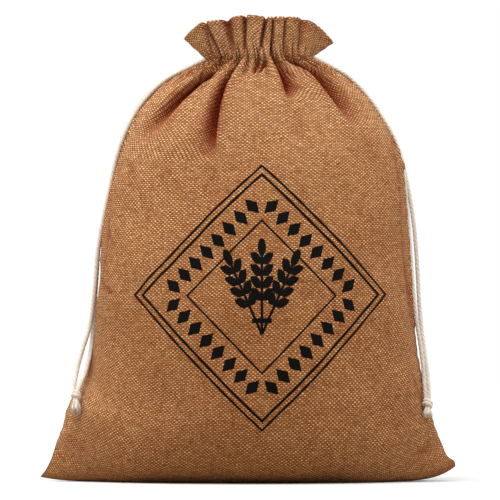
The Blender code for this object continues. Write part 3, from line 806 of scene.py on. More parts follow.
def painted_light(points, rise):
    """How much painted light the cloth gets: most on the ruffle and the shoulders, a little on the sides.

    A share of the normal's sideways part plus a share of its upward part, and the ruffle's
    own value above the neck."""
    sideways, _, upward = np.moveaxis(surface_normal(points), -1, 0)
    body = PAINTED_LIGHT_SIDES * np.abs(sideways) + PAINTED_LIGHT_TOPS * np.maximum(upward, 0.0)
    body = np.minimum(body, PAINTED_LIGHT_LIMIT)
    return partway(body, PAINTED_LIGHT_RUFFLE, share(rise, PAINTED_LIGHT_START, PAINTED_LIGHT_RUN))


def swell_height(points, phase):
    """Slow unevenness of filled cloth: crossed waves a few centimetres long."""
    x, z = points[..., 0], points[..., 2]
    return SWELL_HEIGHT * sum(size * np.sin(across * x + up * z + times * phase)
                              for size, across, up, times in SWELLS)


def row_rises():
    """Rise of each row of a panel's mesh."""
    rises = [np.linspace(low, high, rows, endpoint=False) for low, high, rows in ROW_STRETCHES]
    return np.concatenate(rises + [[HEM_RISE]])


def row_steps(plain):
    """Length of each step along the rows of a grid of points."""
    return np.linalg.norm(np.diff(plain, axis=0), axis=-1)


def from_middle(step, plain):
    """The sum of the steps along each row, counted from the line x = 0."""
    width = np.concatenate([np.zeros((1, step.shape[1])), np.cumsum(step, axis=0)])
    middle = np.abs(plain[..., 0]).argmin(axis=0)
    rows = np.arange(plain.shape[1])
    return width - width[middle, rows] + plain[middle, rows, 0]


def weave_place(plain, rise, hollow):
    """Where each point lies on the flat cloth, measured from the line x = 0.

    A step along a row counts more where a valley hides cloth. The ruffle keeps the hem's
    widths all the way down to the neck, so that its threads fan out with it. Below the
    shoulders the upright threads lean a little, and the level ones sag and rise in turn."""
    hidden = VALLEY_SLACK + 0.5 * (hollow[1:] + hollow[:-1])
    width = from_middle(row_steps(plain) * (1.0 + VALLEY_CLOTH * hidden), plain)
    width = partway(width, width[:, -1:], ease((rise - FAN_RISE) / (NECK_RISE - FAN_RISE)))
    width = width + WARP_LEAN * np.maximum(LEAN_RISE - rise, 0.0)
    sag = np.sin(2.0 * math.pi * (rise - WEFT_LEVEL_RISE) / WEFT_WAVE)
    return np.stack([width, rise - math.tan(WEFT_TILT) * plain[..., 0] * sag], axis=-1)


def print_place(plain, rise):
    """Where each point lies on the cloth, measured from the line x = 0."""
    return np.stack([from_middle(row_steps(plain), plain), rise], axis=-1)


# ---------------------------------------------------------------- meshes


def add_object(name, data):
    """New object in the scene."""
    item = bpy.data.objects.new(name, data)
    bpy.context.scene.collection.objects.link(item)
    return item


def turned_to(direction):
    """Turn of a light or a camera that faces a direction."""
    return Vector(direction).to_track_quat("-Z", "Y").to_euler()


def add_piece(name, points, faces, material, uv_maps):
    """Smooth mesh from arrays of points and faces, turned so that its faces point outwards.

    The sign of the volume, the sum of the triple products of each face's corners, tells
    which way they point."""
    points, faces = np.asarray(points, float), np.asarray(faces)
    corners = points[faces]
    fan = sum(np.einsum("ij,ij->i", corners[:, 0], np.cross(corners[:, k], corners[:, k + 1]))
              for k in range(1, faces.shape[1] - 1))
    if fan.sum() < 0.0:
        faces = faces[:, ::-1]
    mesh = bpy.data.meshes.new(name)
    mesh.from_pydata(points.tolist(), [], faces.tolist())
    for map_name, places in uv_maps.items():
        layer = mesh.uv_layers.new(name=map_name)
        corner = np.empty(len(mesh.loops), int)
        mesh.loops.foreach_get("vertex_index", corner)
        layer.data.foreach_set("uv", np.asarray(places, float)[corner].ravel())
    mesh.polygons.foreach_set("use_smooth", np.full(len(mesh.polygons), True))
    mesh.materials.append(material)
    mesh.update()
    return add_object(name, mesh)


def add_number(item, name, values):
    """One number for each point of a piece, for its material."""
    layer = item.data.attributes.new(name, "FLOAT", "POINT")
    layer.data.foreach_set("value", np.asarray(values, np.float32).ravel())


def ring_faces(rings, sides, start=0):
    """Quads of a tube of rings, each with the given number of sides."""
    ring, side = np.meshgrid(np.arange(rings - 1), np.arange(sides), indexing="ij")
    after = (side + 1) % sides
    quads = np.stack([ring * sides + side, ring * sides + after,
                      (ring + 1) * sides + after, (ring + 1) * sides + side], axis=-1)
    return quads.reshape(-1, 4) + start


def around_sheet(values):
    """A value for each row and column, spread over a sheet's outer face, hem and inner face."""
    hem = np.repeat(values[:, -1:], HEM_TURNS, axis=1)
    return np.concatenate([values, hem, values[:, ::-1]], axis=1).reshape(-1, *values.shape[2:])


def closed_sheet(outside, inside, hem):
    """Points and quads of a cloth sheet, closed all round: outer face, turned hem, inner face."""
    around = np.concatenate([outside, hem, inside[:, ::-1]], axis=1)
    across, ring = around.shape[:2]
    index = np.arange(across * ring).reshape(across, ring)
    after = np.roll(index, -1, axis=1)
    skin = np.stack([index[:-1], index[1:], after[1:], after[:-1]], axis=-1).reshape(-1, 4)
    half = np.arange(ring // 2 - 1)
    ends = [np.stack([side[half], side[half + 1], side[ring - 2 - half], side[ring - 1 - half]], axis=-1)
            for side in (index[0][::-1], index[-1])]
    return around.reshape(-1, 3), np.concatenate([skin, *ends])


def thick_panel(plain, height, slide, settings):
    """Outer face, hem and inner face of a panel.

    Both faces stand off the plain surface along its normal; the hem is half a circle of
    the folded edge's thickness."""
    normal = surface_normal(plain)
    rises = row_rises()
    level = share(rises, NECK_RISE, LEVEL_PUSH_RUN)
    normal[..., 2] *= 1.0 - level
    normal = unit(normal)
    outside = plain + normal * height[..., None]
    outside[..., 2] += level * HEM_DIP * np.minimum(height, 0.0)
    outside[..., (0, 2)] += slide
    fold = ease((rises - (HEM_RISE - settings.hem_width)) / (HEM_STEP * settings.hem_width))
    extra = (settings.hem_thickness - settings.cloth_thickness) * fold
    outside = outside + normal * (HEM_OUTSIDE * extra)[:, None]
    inside = outside - normal * (settings.cloth_thickness + extra)[:, None]
    inside[(0, -1), :, 1] = -0.5 * PIECE_GAP
    for layer in (outside, inside):
        layer[..., 1] = np.minimum(layer[..., 1], -0.5 * PIECE_GAP)
    turn = math.pi * np.arange(1, HEM_TURNS + 1) / (HEM_TURNS + 1)
    last, first = outside[:, -1], inside[:, -1]
    upward = unit(outside[:, -1] - outside[:, -2])
    size = 0.5 * np.linalg.norm(last - first, axis=-1)[:, None, None]
    hem = (0.5 * (last + first)[:, None] + 0.5 * (last - first)[:, None] * np.cos(turn)[:, None]
           + upward[:, None] * size * np.sin(turn)[:, None])
    hem[..., 1] = np.minimum(hem[..., 1], -0.5 * PIECE_GAP)
    return outside, inside, hem


def ring_turns(sides):
    """Angles of the points of a ring."""
    return np.arange(sides) * 2.0 * math.pi / sides


def rope_surface(path, radius, sides, lay, off):
    """Twisted cord: rings across a path that never runs along the direction "off".

    The radius dips between the plies: it follows the size, without the sign, of the
    cosine of half the number of plies times the angle less the twist so far, which makes
    round plies with sharp grooves."""
    run, turn = run_along(path), ring_turns(sides)
    twist = 2.0 * math.pi * run / lay
    groove = np.abs(np.cos(0.5 * CORD_PLIES * (turn - twist[:, None])))
    reach = np.broadcast_to(radius, run.shape)[:, None] * (1.0 - CORD_PLY_DEPTH * (1.0 - groove))
    way = unit(np.gradient(path, axis=0))
    side = unit(np.cross(way, off))
    rings = (path[:, None] + side[:, None] * (reach * np.cos(turn))[..., None]
             + np.cross(side, way)[:, None] * (reach * np.sin(turn))[..., None])
    return capped_tube(rings, run)


def capped_tube(rings, run):
    """Points, quads and cord map of a tube whose ends are closed by a pole each.

    The map holds the turn round the tube and the length along it."""
    count, sides = rings.shape[:2]
    turn = np.arange(sides) / sides
    places = np.stack(np.broadcast_arrays(turn, run[:, None]), axis=-1)
    first = np.repeat(rings[:1].mean(axis=1, keepdims=True), sides, axis=1)
    last = np.repeat(rings[-1:].mean(axis=1, keepdims=True), sides, axis=1)
    rings = np.concatenate([first, rings, last])
    places = np.concatenate([places[:1], places, places[-1:]])
    return rings.reshape(-1, 3), ring_faces(count + 2, sides), places.reshape(-1, 2)


def smooth_route(route, count):
    """Evenly spaced points of a smooth curve through a route."""
    run = run_along(route)
    at = np.linspace(0.0, run[-1], count)
    return np.stack([smooth_curve(run, route[:, axis], at) for axis in range(3)], axis=-1)


def path_length(path):
    """Length of a path."""
    return float(run_along(path)[-1])


def hanging(points, place, swing):
    """Points of a knot with its tail along -Z, swung forward and moved to where it hangs."""
    angle = -math.radians(swing)
    turn = np.array([[1.0, 0.0, 0.0],
                     [0.0, math.cos(angle), -math.sin(angle)],
                     [0.0, math.sin(angle), math.cos(angle)]])
    return points @ turn.T + np.array(place)


# ---------------------------------------------------------------- finishes


class Number:
    """A number that a material works out: arithmetic on it adds Math nodes."""

    def __init__(self, graph, socket):
        self.graph = graph
        self.socket = socket

    def __add__(self, other):
        return self.graph.maths("ADD", self, other)

    def __sub__(self, other):
        return self.graph.maths("SUBTRACT", self, other)

    def __rsub__(self, other):
        return self.graph.maths("SUBTRACT", other, self)

    def __mul__(self, other):
        return self.graph.maths("MULTIPLY", self, other)

    def __truediv__(self, other):
        return self.graph.maths("DIVIDE", self, other)

    def __abs__(self):
        return self.graph.maths("ABSOLUTE", self)


class Graph:
    """Short calls that add the nodes of one material."""

    def __init__(self, name):
        self.material = bpy.data.materials.new(name)
        self.material.use_nodes = True
        self.tree = self.material.node_tree
        self.shader = self.tree.nodes["Principled BSDF"]

    def put(self, socket, value):
        """Links a node's output, or sets a plain value; a colour gets its fourth number."""
        value = value.socket if isinstance(value, Number) else value
        if isinstance(value, bpy.types.NodeSocket):
            self.tree.links.new(value, socket)
        elif socket.type == "RGBA":
            socket.default_value = (*value, 1.0)
        else:
            socket.default_value = value

    def add(self, kind, inputs=(), **settings):
        """One node with its settings and its inputs by name or number."""
        node = self.tree.nodes.new(kind)
        for name, value in settings.items():
            setattr(node, name, value)
        for key, value in dict(inputs).items():
            self.put(node.inputs[key], value)
        return node

    def finish(self, **inputs):
        """Sets or links the shader's inputs, named with _ for a space, and returns the material."""
        for name, value in inputs.items():
            self.put(self.shader.inputs[name.replace("_", " ")], value)
        return self.material

    def maths(self, operation, *values, clamp=False):
        """Result of one Math node."""
        node = self.add("ShaderNodeMath", dict(enumerate(values)), operation=operation, use_clamp=clamp)
        return Number(self, node.outputs[0])

    def largest(self, values):
        """The largest of some numbers."""
        values = list(values)
        total = values[0]
        for value in values[1:]:
            total = self.maths("MAXIMUM", total, value)
        return total

    def blend(self, factor, first, second, blend_type="MIX"):
        """Output of a colour mix."""
        node = self.add("ShaderNodeMix", data_type="RGBA", blend_type=blend_type)
        for key, value in (("Factor", factor), ("A", first), ("B", second)):
            self.put(node.inputs[key], value)
        return node.outputs["Result"]

    def tint(self, colour, by, factor=1.0):
        """A colour multiplied by another one, as far as the factor says."""
        return self.blend(factor, colour, by, "MULTIPLY")

    def noise(self, vector, scale, detail=2.0, roughness=0.5):
        """Noise between 0 and 1 on a vector."""
        node = self.add("ShaderNodeTexNoise", {
            "Vector": vector, "Scale": scale, "Detail": detail, "Roughness": roughness})
        return Number(self, node.outputs["Fac"])

    def place(self, uv_map):
        """A place on one of the piece's maps, whole and as two numbers."""
        whole = self.add("ShaderNodeUVMap", uv_map=uv_map).outputs[0]
        split = self.add("ShaderNodeSeparateXYZ", {0: whole})
        return whole, Number(self, split.outputs[0]), Number(self, split.outputs[1])

    def attribute(self, name):
        """A number that the piece's points carry."""
        return Number(self, self.add("ShaderNodeAttribute", attribute_name=name).outputs["Fac"])

    def point(self, x, y=0.0, z=0.0):
        """A vector from three numbers."""
        return self.add("ShaderNodeCombineXYZ", {0: x, 1: y, 2: z}).outputs[0]

    def soft_step(self, value, edge, width=PRINT_BLUR):
        """Rises smoothly from 0 below the edge to 1 above it."""
        inputs = {"Value": value, "From Min": edge - width, "From Max": edge + width}
        node = self.add("ShaderNodeMapRange", inputs, interpolation_type="SMOOTHSTEP")
        return Number(self, node.outputs["Result"])

    def soft_drop(self, value, edge, width=PRINT_BLUR):
        """Falls smoothly from 1 below the edge to 0 above it."""
        return 1.0 - self.soft_step(value, edge, width)

    def between(self, value, low, high, width=PRINT_BLUR):
        """1 between two edges, 0 elsewhere."""
        return self.soft_step(value, low, width) * self.soft_drop(value, high, width)

    def ellipse(self, x, y, half_long, half_wide):
        """1 where the sum of the squares of x and y, each in its half size, is under 1; 0 elsewhere."""
        long_way = self.maths("POWER", abs(x) / half_long, 2.0)
        wide_way = self.maths("POWER", abs(y) / half_wide, 2.0)
        return self.soft_drop(long_way + wide_way, 1.0, ELLIPSE_BLUR)

    def repeat(self, value, step):
        """Distance from the middle of the repeated step that a value lies in."""
        return (self.maths("FRACT", value / step) - 0.5) * step

    def ramp(self, value, stops):
        """Colours at places between 0 and 1."""
        stops = list(stops)
        node = self.add("ShaderNodeValToRGB", {0: value})
        elements = node.color_ramp.elements
        while len(elements) < len(stops):
            elements.new(1.0)
        for element, (place, colour) in zip(elements, stops):
            element.position = place
            element.color = (*colour, 1.0)
        return node.outputs["Color"]

    def bump(self, height, strength, distance):
        """Normals raised by a height."""
        return self.add("ShaderNodeBump", {
            "Height": height, "Strength": strength, "Distance": distance}).outputs[0]


def woven(graph, settings):
    """Plain weave from the piece's own cloth map.

    Warp and weft threads cross over and under by turns: a thread's height is a cosine
    along it plus the rounding of its own width, and the higher one shows. Returns the
    map, the shown thread's tone and height, whether it is the weft, and a number for
    each crossing."""
    place, *spots = graph.place("cloth")
    wander = graph.add("ShaderNodeTexNoise", {"Vector": place, "Scale": WANDER_SCALE, "Detail": 1.0})
    strays = graph.add("ShaderNodeSeparateColor", {0: wander.outputs["Color"]}).outputs
    thread = [(Number(graph, stray) * settings.thread_wander + spot) / pitch
              for stray, spot, pitch in zip(strays, spots, (settings.warp_pitch, settings.weft_pitch))]
    number = [graph.maths("FLOOR", value) for value in thread]
    within = [graph.maths("FRACT", value) - 0.5 for value in thread]
    turned = graph.maths("FLOORED_MODULO", number[0] + number[1], 2.0) * -2.0 + 1.0
    looks = []
    for axis, sign in ((0, 1.0), (1, -1.0)):
        own = number[axis] * TONE_APART + (TONE_START + TONE_WEFT * axis)
        along = thread[1 - axis] * TONE_ALONG
        tone = graph.noise(graph.point(own, along), 1.0, 3.0, 0.70)
        fat = graph.noise(graph.point(own, along * FAT_ALONG, FAT_PLANE), 1.0, 1.0)
        ratio = within[axis] / (fat * THREAD_FATTENING + THREAD_HALF_WIDTH)
        rounded = graph.maths("SQRT", graph.maths("SUBTRACT", 1.0, ratio * ratio, clamp=True))
        lift = graph.maths("COSINE", within[1 - axis] * math.pi) * turned * sign
        height = lift * THREAD_LIFT + (rounded * THREAD_ROUNDNESS + THREAD_BASE)
        looks.append((tone, graph.soft_step(rounded, *THREAD_EDGE) * height))
    (warp_tone, warp_height), (weft_tone, weft_height) = looks
    weft_shows = graph.soft_step(weft_height - warp_height, *SHOWING_EDGE)
    tone = graph.add("ShaderNodeMix", {"Factor": weft_shows, "A": warp_tone, "B": weft_tone}).outputs[0]
    crossing = graph.add("ShaderNodeTexWhiteNoise", {"Vector": graph.point(*number)}, noise_dimensions="2D")
    height = graph.maths("MAXIMUM", warp_height, weft_height)
    return place, Number(graph, tone), height, weft_shows, Number(graph, crossing.outputs["Value"])


def wheat_ear(graph, u, v, lean, stem):
    """Black wheat ear: a stalk and pairs of tilted grains, repeated along it.

    Along the leaned axis the grains repeat by the fraction of the distance; each grain
    is an ellipse turned away from the axis, mirrored to both sides."""
    cos, sin = math.cos(lean), math.sin(lean)
    tilt_cos, tilt_sin = math.cos(GRAIN_TILT), math.sin(GRAIN_TILT)
    above = v - SHEAF_FOOT
    along = u * sin + above * cos
    beside = abs(u * cos - above * sin)
    top = stem + GRAIN_PAIRS * GRAIN_PITCH
    local = graph.repeat(along - stem, GRAIN_PITCH)
    shift = beside - GRAIN_OUT * GRAIN_LONG
    grain = graph.ellipse(local * tilt_cos + shift * tilt_sin, shift * tilt_cos - local * tilt_sin,
                          GRAIN_REACH * GRAIN_PITCH, GRAIN_WIDE)
    crown = graph.ellipse(along - (top + CROWN_OUT * GRAIN_LONG), beside, GRAIN_LONG, GRAIN_WIDE)
    stalk = graph.soft_drop(beside, STALK_WIDE, STALK_BLUR) * graph.between(along, 0.0, top, STALK_BLUR)
    return graph.largest((grain * graph.between(along, stem, top), crown, stalk))


def harvest_print(graph, settings):
    """Black print of the front: a double diamond frame round a wheat sheaf, with rows of lozenges.

    The sum of the distances across and up gives the diamonds, their difference the
    place along a side, where the lozenges repeat."""
    _, across, rise = graph.place("print")
    mirrored = abs(across - settings.print_middle[0])
    v = rise - settings.print_middle[1]
    size = settings.print_size
    diamond = mirrored + abs(v)
    parts = [graph.between(diamond, size - far, size - near) for far, near in FRAME_LINES]
    side = mirrored - abs(v)
    off_row = abs(diamond - (size - LOZENGE_ROW))
    lozenge = abs(graph.repeat(side, LOZENGE_PITCH)) + off_row * LOZENGE_LENGTHENING
    parts.append(graph.soft_drop(abs(side), size - LOZENGE_END) * graph.soft_drop(lozenge, LOZENGE_HALF))
    parts += [wheat_ear(graph, mirrored, v, lean, stem) for lean, stem in EARS]
    tie = abs(v - (SHEAF_FOOT + TIE_ABOVE_FOOT))
    parts.append(graph.soft_drop(tie, TIE_HALF_HIGH) * graph.soft_drop(mirrored, TIE_HALF_WIDE))
    return graph.largest(parts)


def burlap_finish(name, settings, printed):
    """Coarse burlap: mottled threads, painted shade in the openings, on the threads' sides and,
    red brown, in the valleys, painted light by the way the cloth faces and, on the front, the print.

    A thread gets painted shade where it dives under its neighbours and none on its crowns."""
    graph = Graph(name)
    place, tone, height, weft_shows, crossing = woven(graph, settings)
    fibres = (settings.thread_dark, settings.thread_mid, settings.thread_light, settings.thread_pale)
    thread = graph.ramp(tone, zip(THREAD_TONES, fibres))
    # painted shade: the upright threads are tinted darker where they show, as if less lit than the level ones
    thread = graph.blend(weft_shows, graph.tint(thread, settings.warp_shade_colour), thread)
    patch = graph.soft_step(graph.noise(place, PATCH_SCALE, 3.0), *PATCH_EDGE)
    thread = graph.tint(thread, settings.patch_colour, patch * settings.patch_strength)
    # painted shade on the threads' sides below their crowns, a little uneven from crossing to crossing
    spread = settings.crossing_spread
    crown = graph.soft_step(height, settings.crown_height, CROWN_SOFTNESS)
    crown = crown * (crossing * spread + (1.0 - spread))
    thread = graph.blend(crown, graph.tint(thread, settings.dive_shade_colour), thread)
    # painted shade: the openings between the threads are near black
    colour = graph.blend(graph.soft_step(height, *OPENING_EDGE), settings.opening_shade_colour, thread)
    # painted shade, red brown, in the valleys, the creases' troughs and the gathers' slits
    colour = graph.tint(colour, settings.valley_shade_colour, graph.attribute("hollow"))
    # painted light: the cloth is tinted lighter where it faces up or sideways and on the ruffle, darker on
    # the belly
    painted_light_tint = graph.blend(graph.attribute("pale"), settings.shaded_cloth_colour, settings.lit_cloth_colour)
    colour = graph.tint(colour, painted_light_tint)
    if printed:
        cover = graph.soft_step(height, *INK_EDGE) * INK_LOSS + (1.0 - INK_LOSS)
        ink = harvest_print(graph, settings) * cover
        colour = graph.blend(ink, colour, settings.ink_colour)
    return graph.finish(
        Base_Color=colour, Roughness=FIBRE_ROUGHNESS - tone * FIBRE_SMOOTHING,
        Sheen_Weight=settings.fibre_sheen, Sheen_Roughness=0.6, Specular_IOR_Level=0.06,
        Normal=graph.bump(height, 0.8, settings.weave_depth))


def cotton_finish(name, settings):
    """Cream cotton: fine fibres that follow the twist, with painted grey shade in the grooves."""
    graph = Graph(name)
    _, turn, run = graph.place("cord")
    twist = turn - run / settings.cord_lay
    fibre = graph.noise(graph.point(twist * COTTON_TWISTS, run * COTTON_PACE), 1.0, 3.0)
    groove = abs(graph.maths("COSINE", twist * (CORD_PLIES * math.pi)))
    colour = graph.blend(graph.soft_step(fibre, *COTTON_EDGE), settings.cotton_grey_and_shade, settings.cotton_colour)
    # painted shade in the grooves between the plies
    deep = graph.soft_drop(groove, *COTTON_GROOVE_EDGE) * COTTON_GROOVE_SHADE
    colour = graph.tint(colour, settings.cotton_grey_and_shade, deep)
    return graph.finish(
        Base_Color=colour, Roughness=0.88, Specular_IOR_Level=0.25, Sheen_Weight=0.2,
        Normal=graph.bump(fibre, 0.5, COTTON_RELIEF))


def floor_finish(colour, bounce):
    """A matt floor that looks pale and throws back less light than it shows."""
    graph = Graph("pale_floor")
    seen = graph.add("ShaderNodeLightPath").outputs["Is Camera Ray"]
    return graph.finish(Base_Color=graph.blend(seen, bounce, colour), Roughness=0.95, Specular_IOR_Level=0.0)


# ---------------------------------------------------------------- settings


def size_setting(name, description, default):
    """A length that a user may change."""
    return FloatProperty(name=name, description=description, default=default, min=0.0, precision=5,
                         unit="LENGTH", subtype="DISTANCE")


def colour_setting(name, description, default):
    """A colour that a user may change."""
    return FloatVectorProperty(name=name, description=description, default=default, size=3,
                               min=0.0, max=1.0, subtype="COLOR")


def share_setting(name, description, default):
    """A number between 0 and 1 that a user may change."""
    return FloatProperty(name=name, description=description, default=default, min=0.0, max=1.0)


def strength_setting(name, description, default):
    """The strength of a light."""
    return FloatProperty(name=name, description=description, default=default, min=0.0)


class SackClothSettings(bpy.types.PropertyGroup):
    """Sizes and colours of the burlap."""

    cloth_thickness: size_setting("Cloth thickness", "Thickness of one layer of burlap", 0.0013)
    hem_thickness: size_setting("Hem thickness", "Thickness of the turned hem", 0.0024)
    hem_width: size_setting("Hem width", "Height of the turned hem's edge", 0.0040)
    warp_pitch: size_setting("Warp pitch", "Distance between upright threads", 0.00203)
    weft_pitch: size_setting("Weft pitch", "Distance between level threads", 0.00168)
    weave_depth: size_setting("Weave depth", "Relief of the threads", 0.0009)
    thread_wander: size_setting("Thread wander", "How far threads stray from their line", 0.0012)
    print_size: size_setting("Print size", "Half diagonal of the printed diamond", 0.121)
    # height above which a thread gets no painted shade
    crown_height: share_setting("Crowns", "Thread height at which the pale crowns begin", 0.62)
    patch_strength: share_setting("Mottling", "Strength of the darker patches", 0.35)
    fibre_sheen: share_setting("Sheen", "Pale haze of loose fibres", 0.02)
    print_middle: FloatVectorProperty(
        name="Print middle", description="Middle of the print: across from x = 0, and rise", size=2,
        default=(0.0120, 0.2380), subtype="XYZ", unit="LENGTH")
    crossing_spread: share_setting("Uneven crossings", "How much the crowns differ in brightness", 0.55)
    thread_pale: colour_setting("Pale thread", "Palest fibres", (0.99, 0.80, 0.56))
    thread_light: colour_setting("Light thread", "Light fibres", (0.93, 0.64, 0.37))
    thread_mid: colour_setting("Middle thread", "Orange brown fibres", (0.80, 0.47, 0.23))
    thread_dark: colour_setting("Dark thread", "Darkest fibres", (0.52, 0.25, 0.10))
    # painted shade on the upright threads
    warp_shade_colour: colour_setting("Warp", "Tint of the upright threads, which lie deeper", (0.50, 0.33, 0.21))
    patch_colour: colour_setting("Mottling colour", "Tint of the darker patches", (0.80, 0.66, 0.56))
    # painted shade on the threads' sides as they dive
    dive_shade_colour: colour_setting("Thread sides", "Tint of threads as they dive", (0.36, 0.22, 0.14))
    # painted shade in the openings between the threads
    opening_shade_colour: colour_setting("Openings", "Between the threads", (0.050, 0.012, 0.004))
    # painted shade: the red brown tint deep in the folds
    valley_shade_colour: colour_setting("Hollows", "Tint deep in the folds", (0.50, 0.105, 0.025))
    # painted shade and painted light: tints of the cloth that faces down and of the cloth that faces up or
    # sideways
    shaded_cloth_colour: colour_setting("Unbleached cloth", "Tint of the belly", (0.78, 0.66, 0.53))
    lit_cloth_colour: colour_setting("Bleached cloth", "Tint of the shoulders and the ruffle", (1.0, 1.0, 1.0))
    ink_colour: colour_setting("Ink", "Colour of the print", (0.003, 0.003, 0.003))


class SackCordSettings(bpy.types.PropertyGroup):
    """Sizes and colours of the cords and knots."""

    cord_diameter: size_setting("Cord diameter", "Thickness of the cotton cord", 0.0039)
    cord_lay: size_setting("Lay", "Length of one full twist of the plies", 0.0130)
    knot_strand: size_setting("Knot strand", "Half thickness of the wraps of a knot", 0.0021)
    cotton_colour: colour_setting("Cotton", "Colour of the cotton fibres", (0.76, 0.70, 0.63))
    # greyer fibres, and the painted shade of the grooves
    cotton_grey_and_shade: colour_setting("Cotton shade", "Greyer fibres and grooves", (0.60, 0.54, 0.47))


class SackStageSettings(bpy.types.PropertyGroup):
    """Light, floor and camera."""

    camera_distance: size_setting("Camera distance", "From the camera to the sack's middle", 3.0)
    camera_height: size_setting("Camera height", "Height of the camera above the floor", 0.105)
    view_width: size_setting("View width", "Width of the picture at the sack's middle", 0.4600)
    aim_x: FloatProperty(name="Aim across", description="Across position that the camera aims at",
                         default=0.0014, unit="LENGTH", subtype="DISTANCE")
    aim_height: size_setting("Aim height", "Height that the camera aims at", 0.2125)
    top_strength: strength_setting("Top light", "Strength of the soft top light", 3.95)
    side_strength: strength_setting("Side lights", "Strength of the soft side lights", 1.45)
    softness: FloatProperty(name="Softness", description="Width of the lights seen from the sack",
                            default=math.radians(45.0), subtype="ANGLE")
    fill_strength: strength_setting("Fill light", "Strength of the light from all round", 0.43)
    floor_colour: colour_setting("Floor", "Colour of the floor", (0.66, 0.66, 0.66))
    floor_bounce: colour_setting("Floor bounce", "Colour that the floor throws back", (0.47, 0.41, 0.34))


# ---------------------------------------------------------------- pieces


def dress(item, node):
    """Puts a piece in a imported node's place."""
    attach(item, "root")
    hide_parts(node)


class SACK_OT_add_panels(bpy.types.Operator):
    """Sew the front and back panels of burlap"""

    bl_idname = "sack.add_panels"
    bl_label = "Add Panels"

    def execute(self, context):
        for panel in PANELS:
            self.add_panel(context.scene.sack_cloth, *panel)
        return {"FINISHED"}

    @staticmethod
    def add_panel(settings, name, side, pleats, creases, phase):
        """One panel: plain surface, plus the height of its folds along the normal."""
        across, rise = np.meshgrid(np.linspace(-1.0, 1.0, PANEL_COLUMNS + 1), row_rises(), indexing="ij")
        plain = panel_surface(across, rise)
        folds, hollow, slide = pleat_height(plain, pleats)
        gathers, slit_shade = gather_height(across, rise)
        small, crease_shade = crease_height(plain, creases)
        fade = 1.0 - np.abs(across) ** EDGE_FADE_POWER
        free = share(rise, FREE_RISE, FREE_RUN)
        height = (folds + gathers + small + casing_height(rise) + ruffle_puff(plain, rise, pleats)
                  + free * swell_height(plain, phase)) * fade
        height += free * seam_height(across, rise, phase)
        # painted shade of the valleys, creases and slits, and painted light by the way the cloth faces,
        # weaker in that shade
        deep = np.maximum(np.clip(hollow + slit_shade, 0.0, 1.0) * fade, crease_shade)
        numbers = {"hollow": deep, "pale": painted_light(plain, rise) * (1.0 - PAINTED_LIGHT_LOSS * deep)}
        maps = {"cloth": weave_place(plain, rise, hollow), "print": print_place(plain, rise)}
        wander = SEAM_WANDER * wave(rise, SEAM_WANDER_PHASE + np.sign(across)) * (1.0 - fade) * free
        plain[..., 0] += wander + edge_reach(across, rise)
        outside, inside, hem = thick_panel(plain, height, slide * fade[..., None], settings)
        outside[..., 2] = np.maximum(outside[..., 2], 0.0)
        points, faces = closed_sheet(outside, inside, hem)
        points[:, 1] *= side
        finish = burlap_finish(name + "_burlap", settings, side == FRONT_SIDE)
        item = add_piece(name, points, faces, finish, {key: around_sheet(spot) for key, spot in maps.items()})
        for key, number in numbers.items():
            add_number(item, key, around_sheet(number))
        dress(item, name.replace("cloth", "panel"))


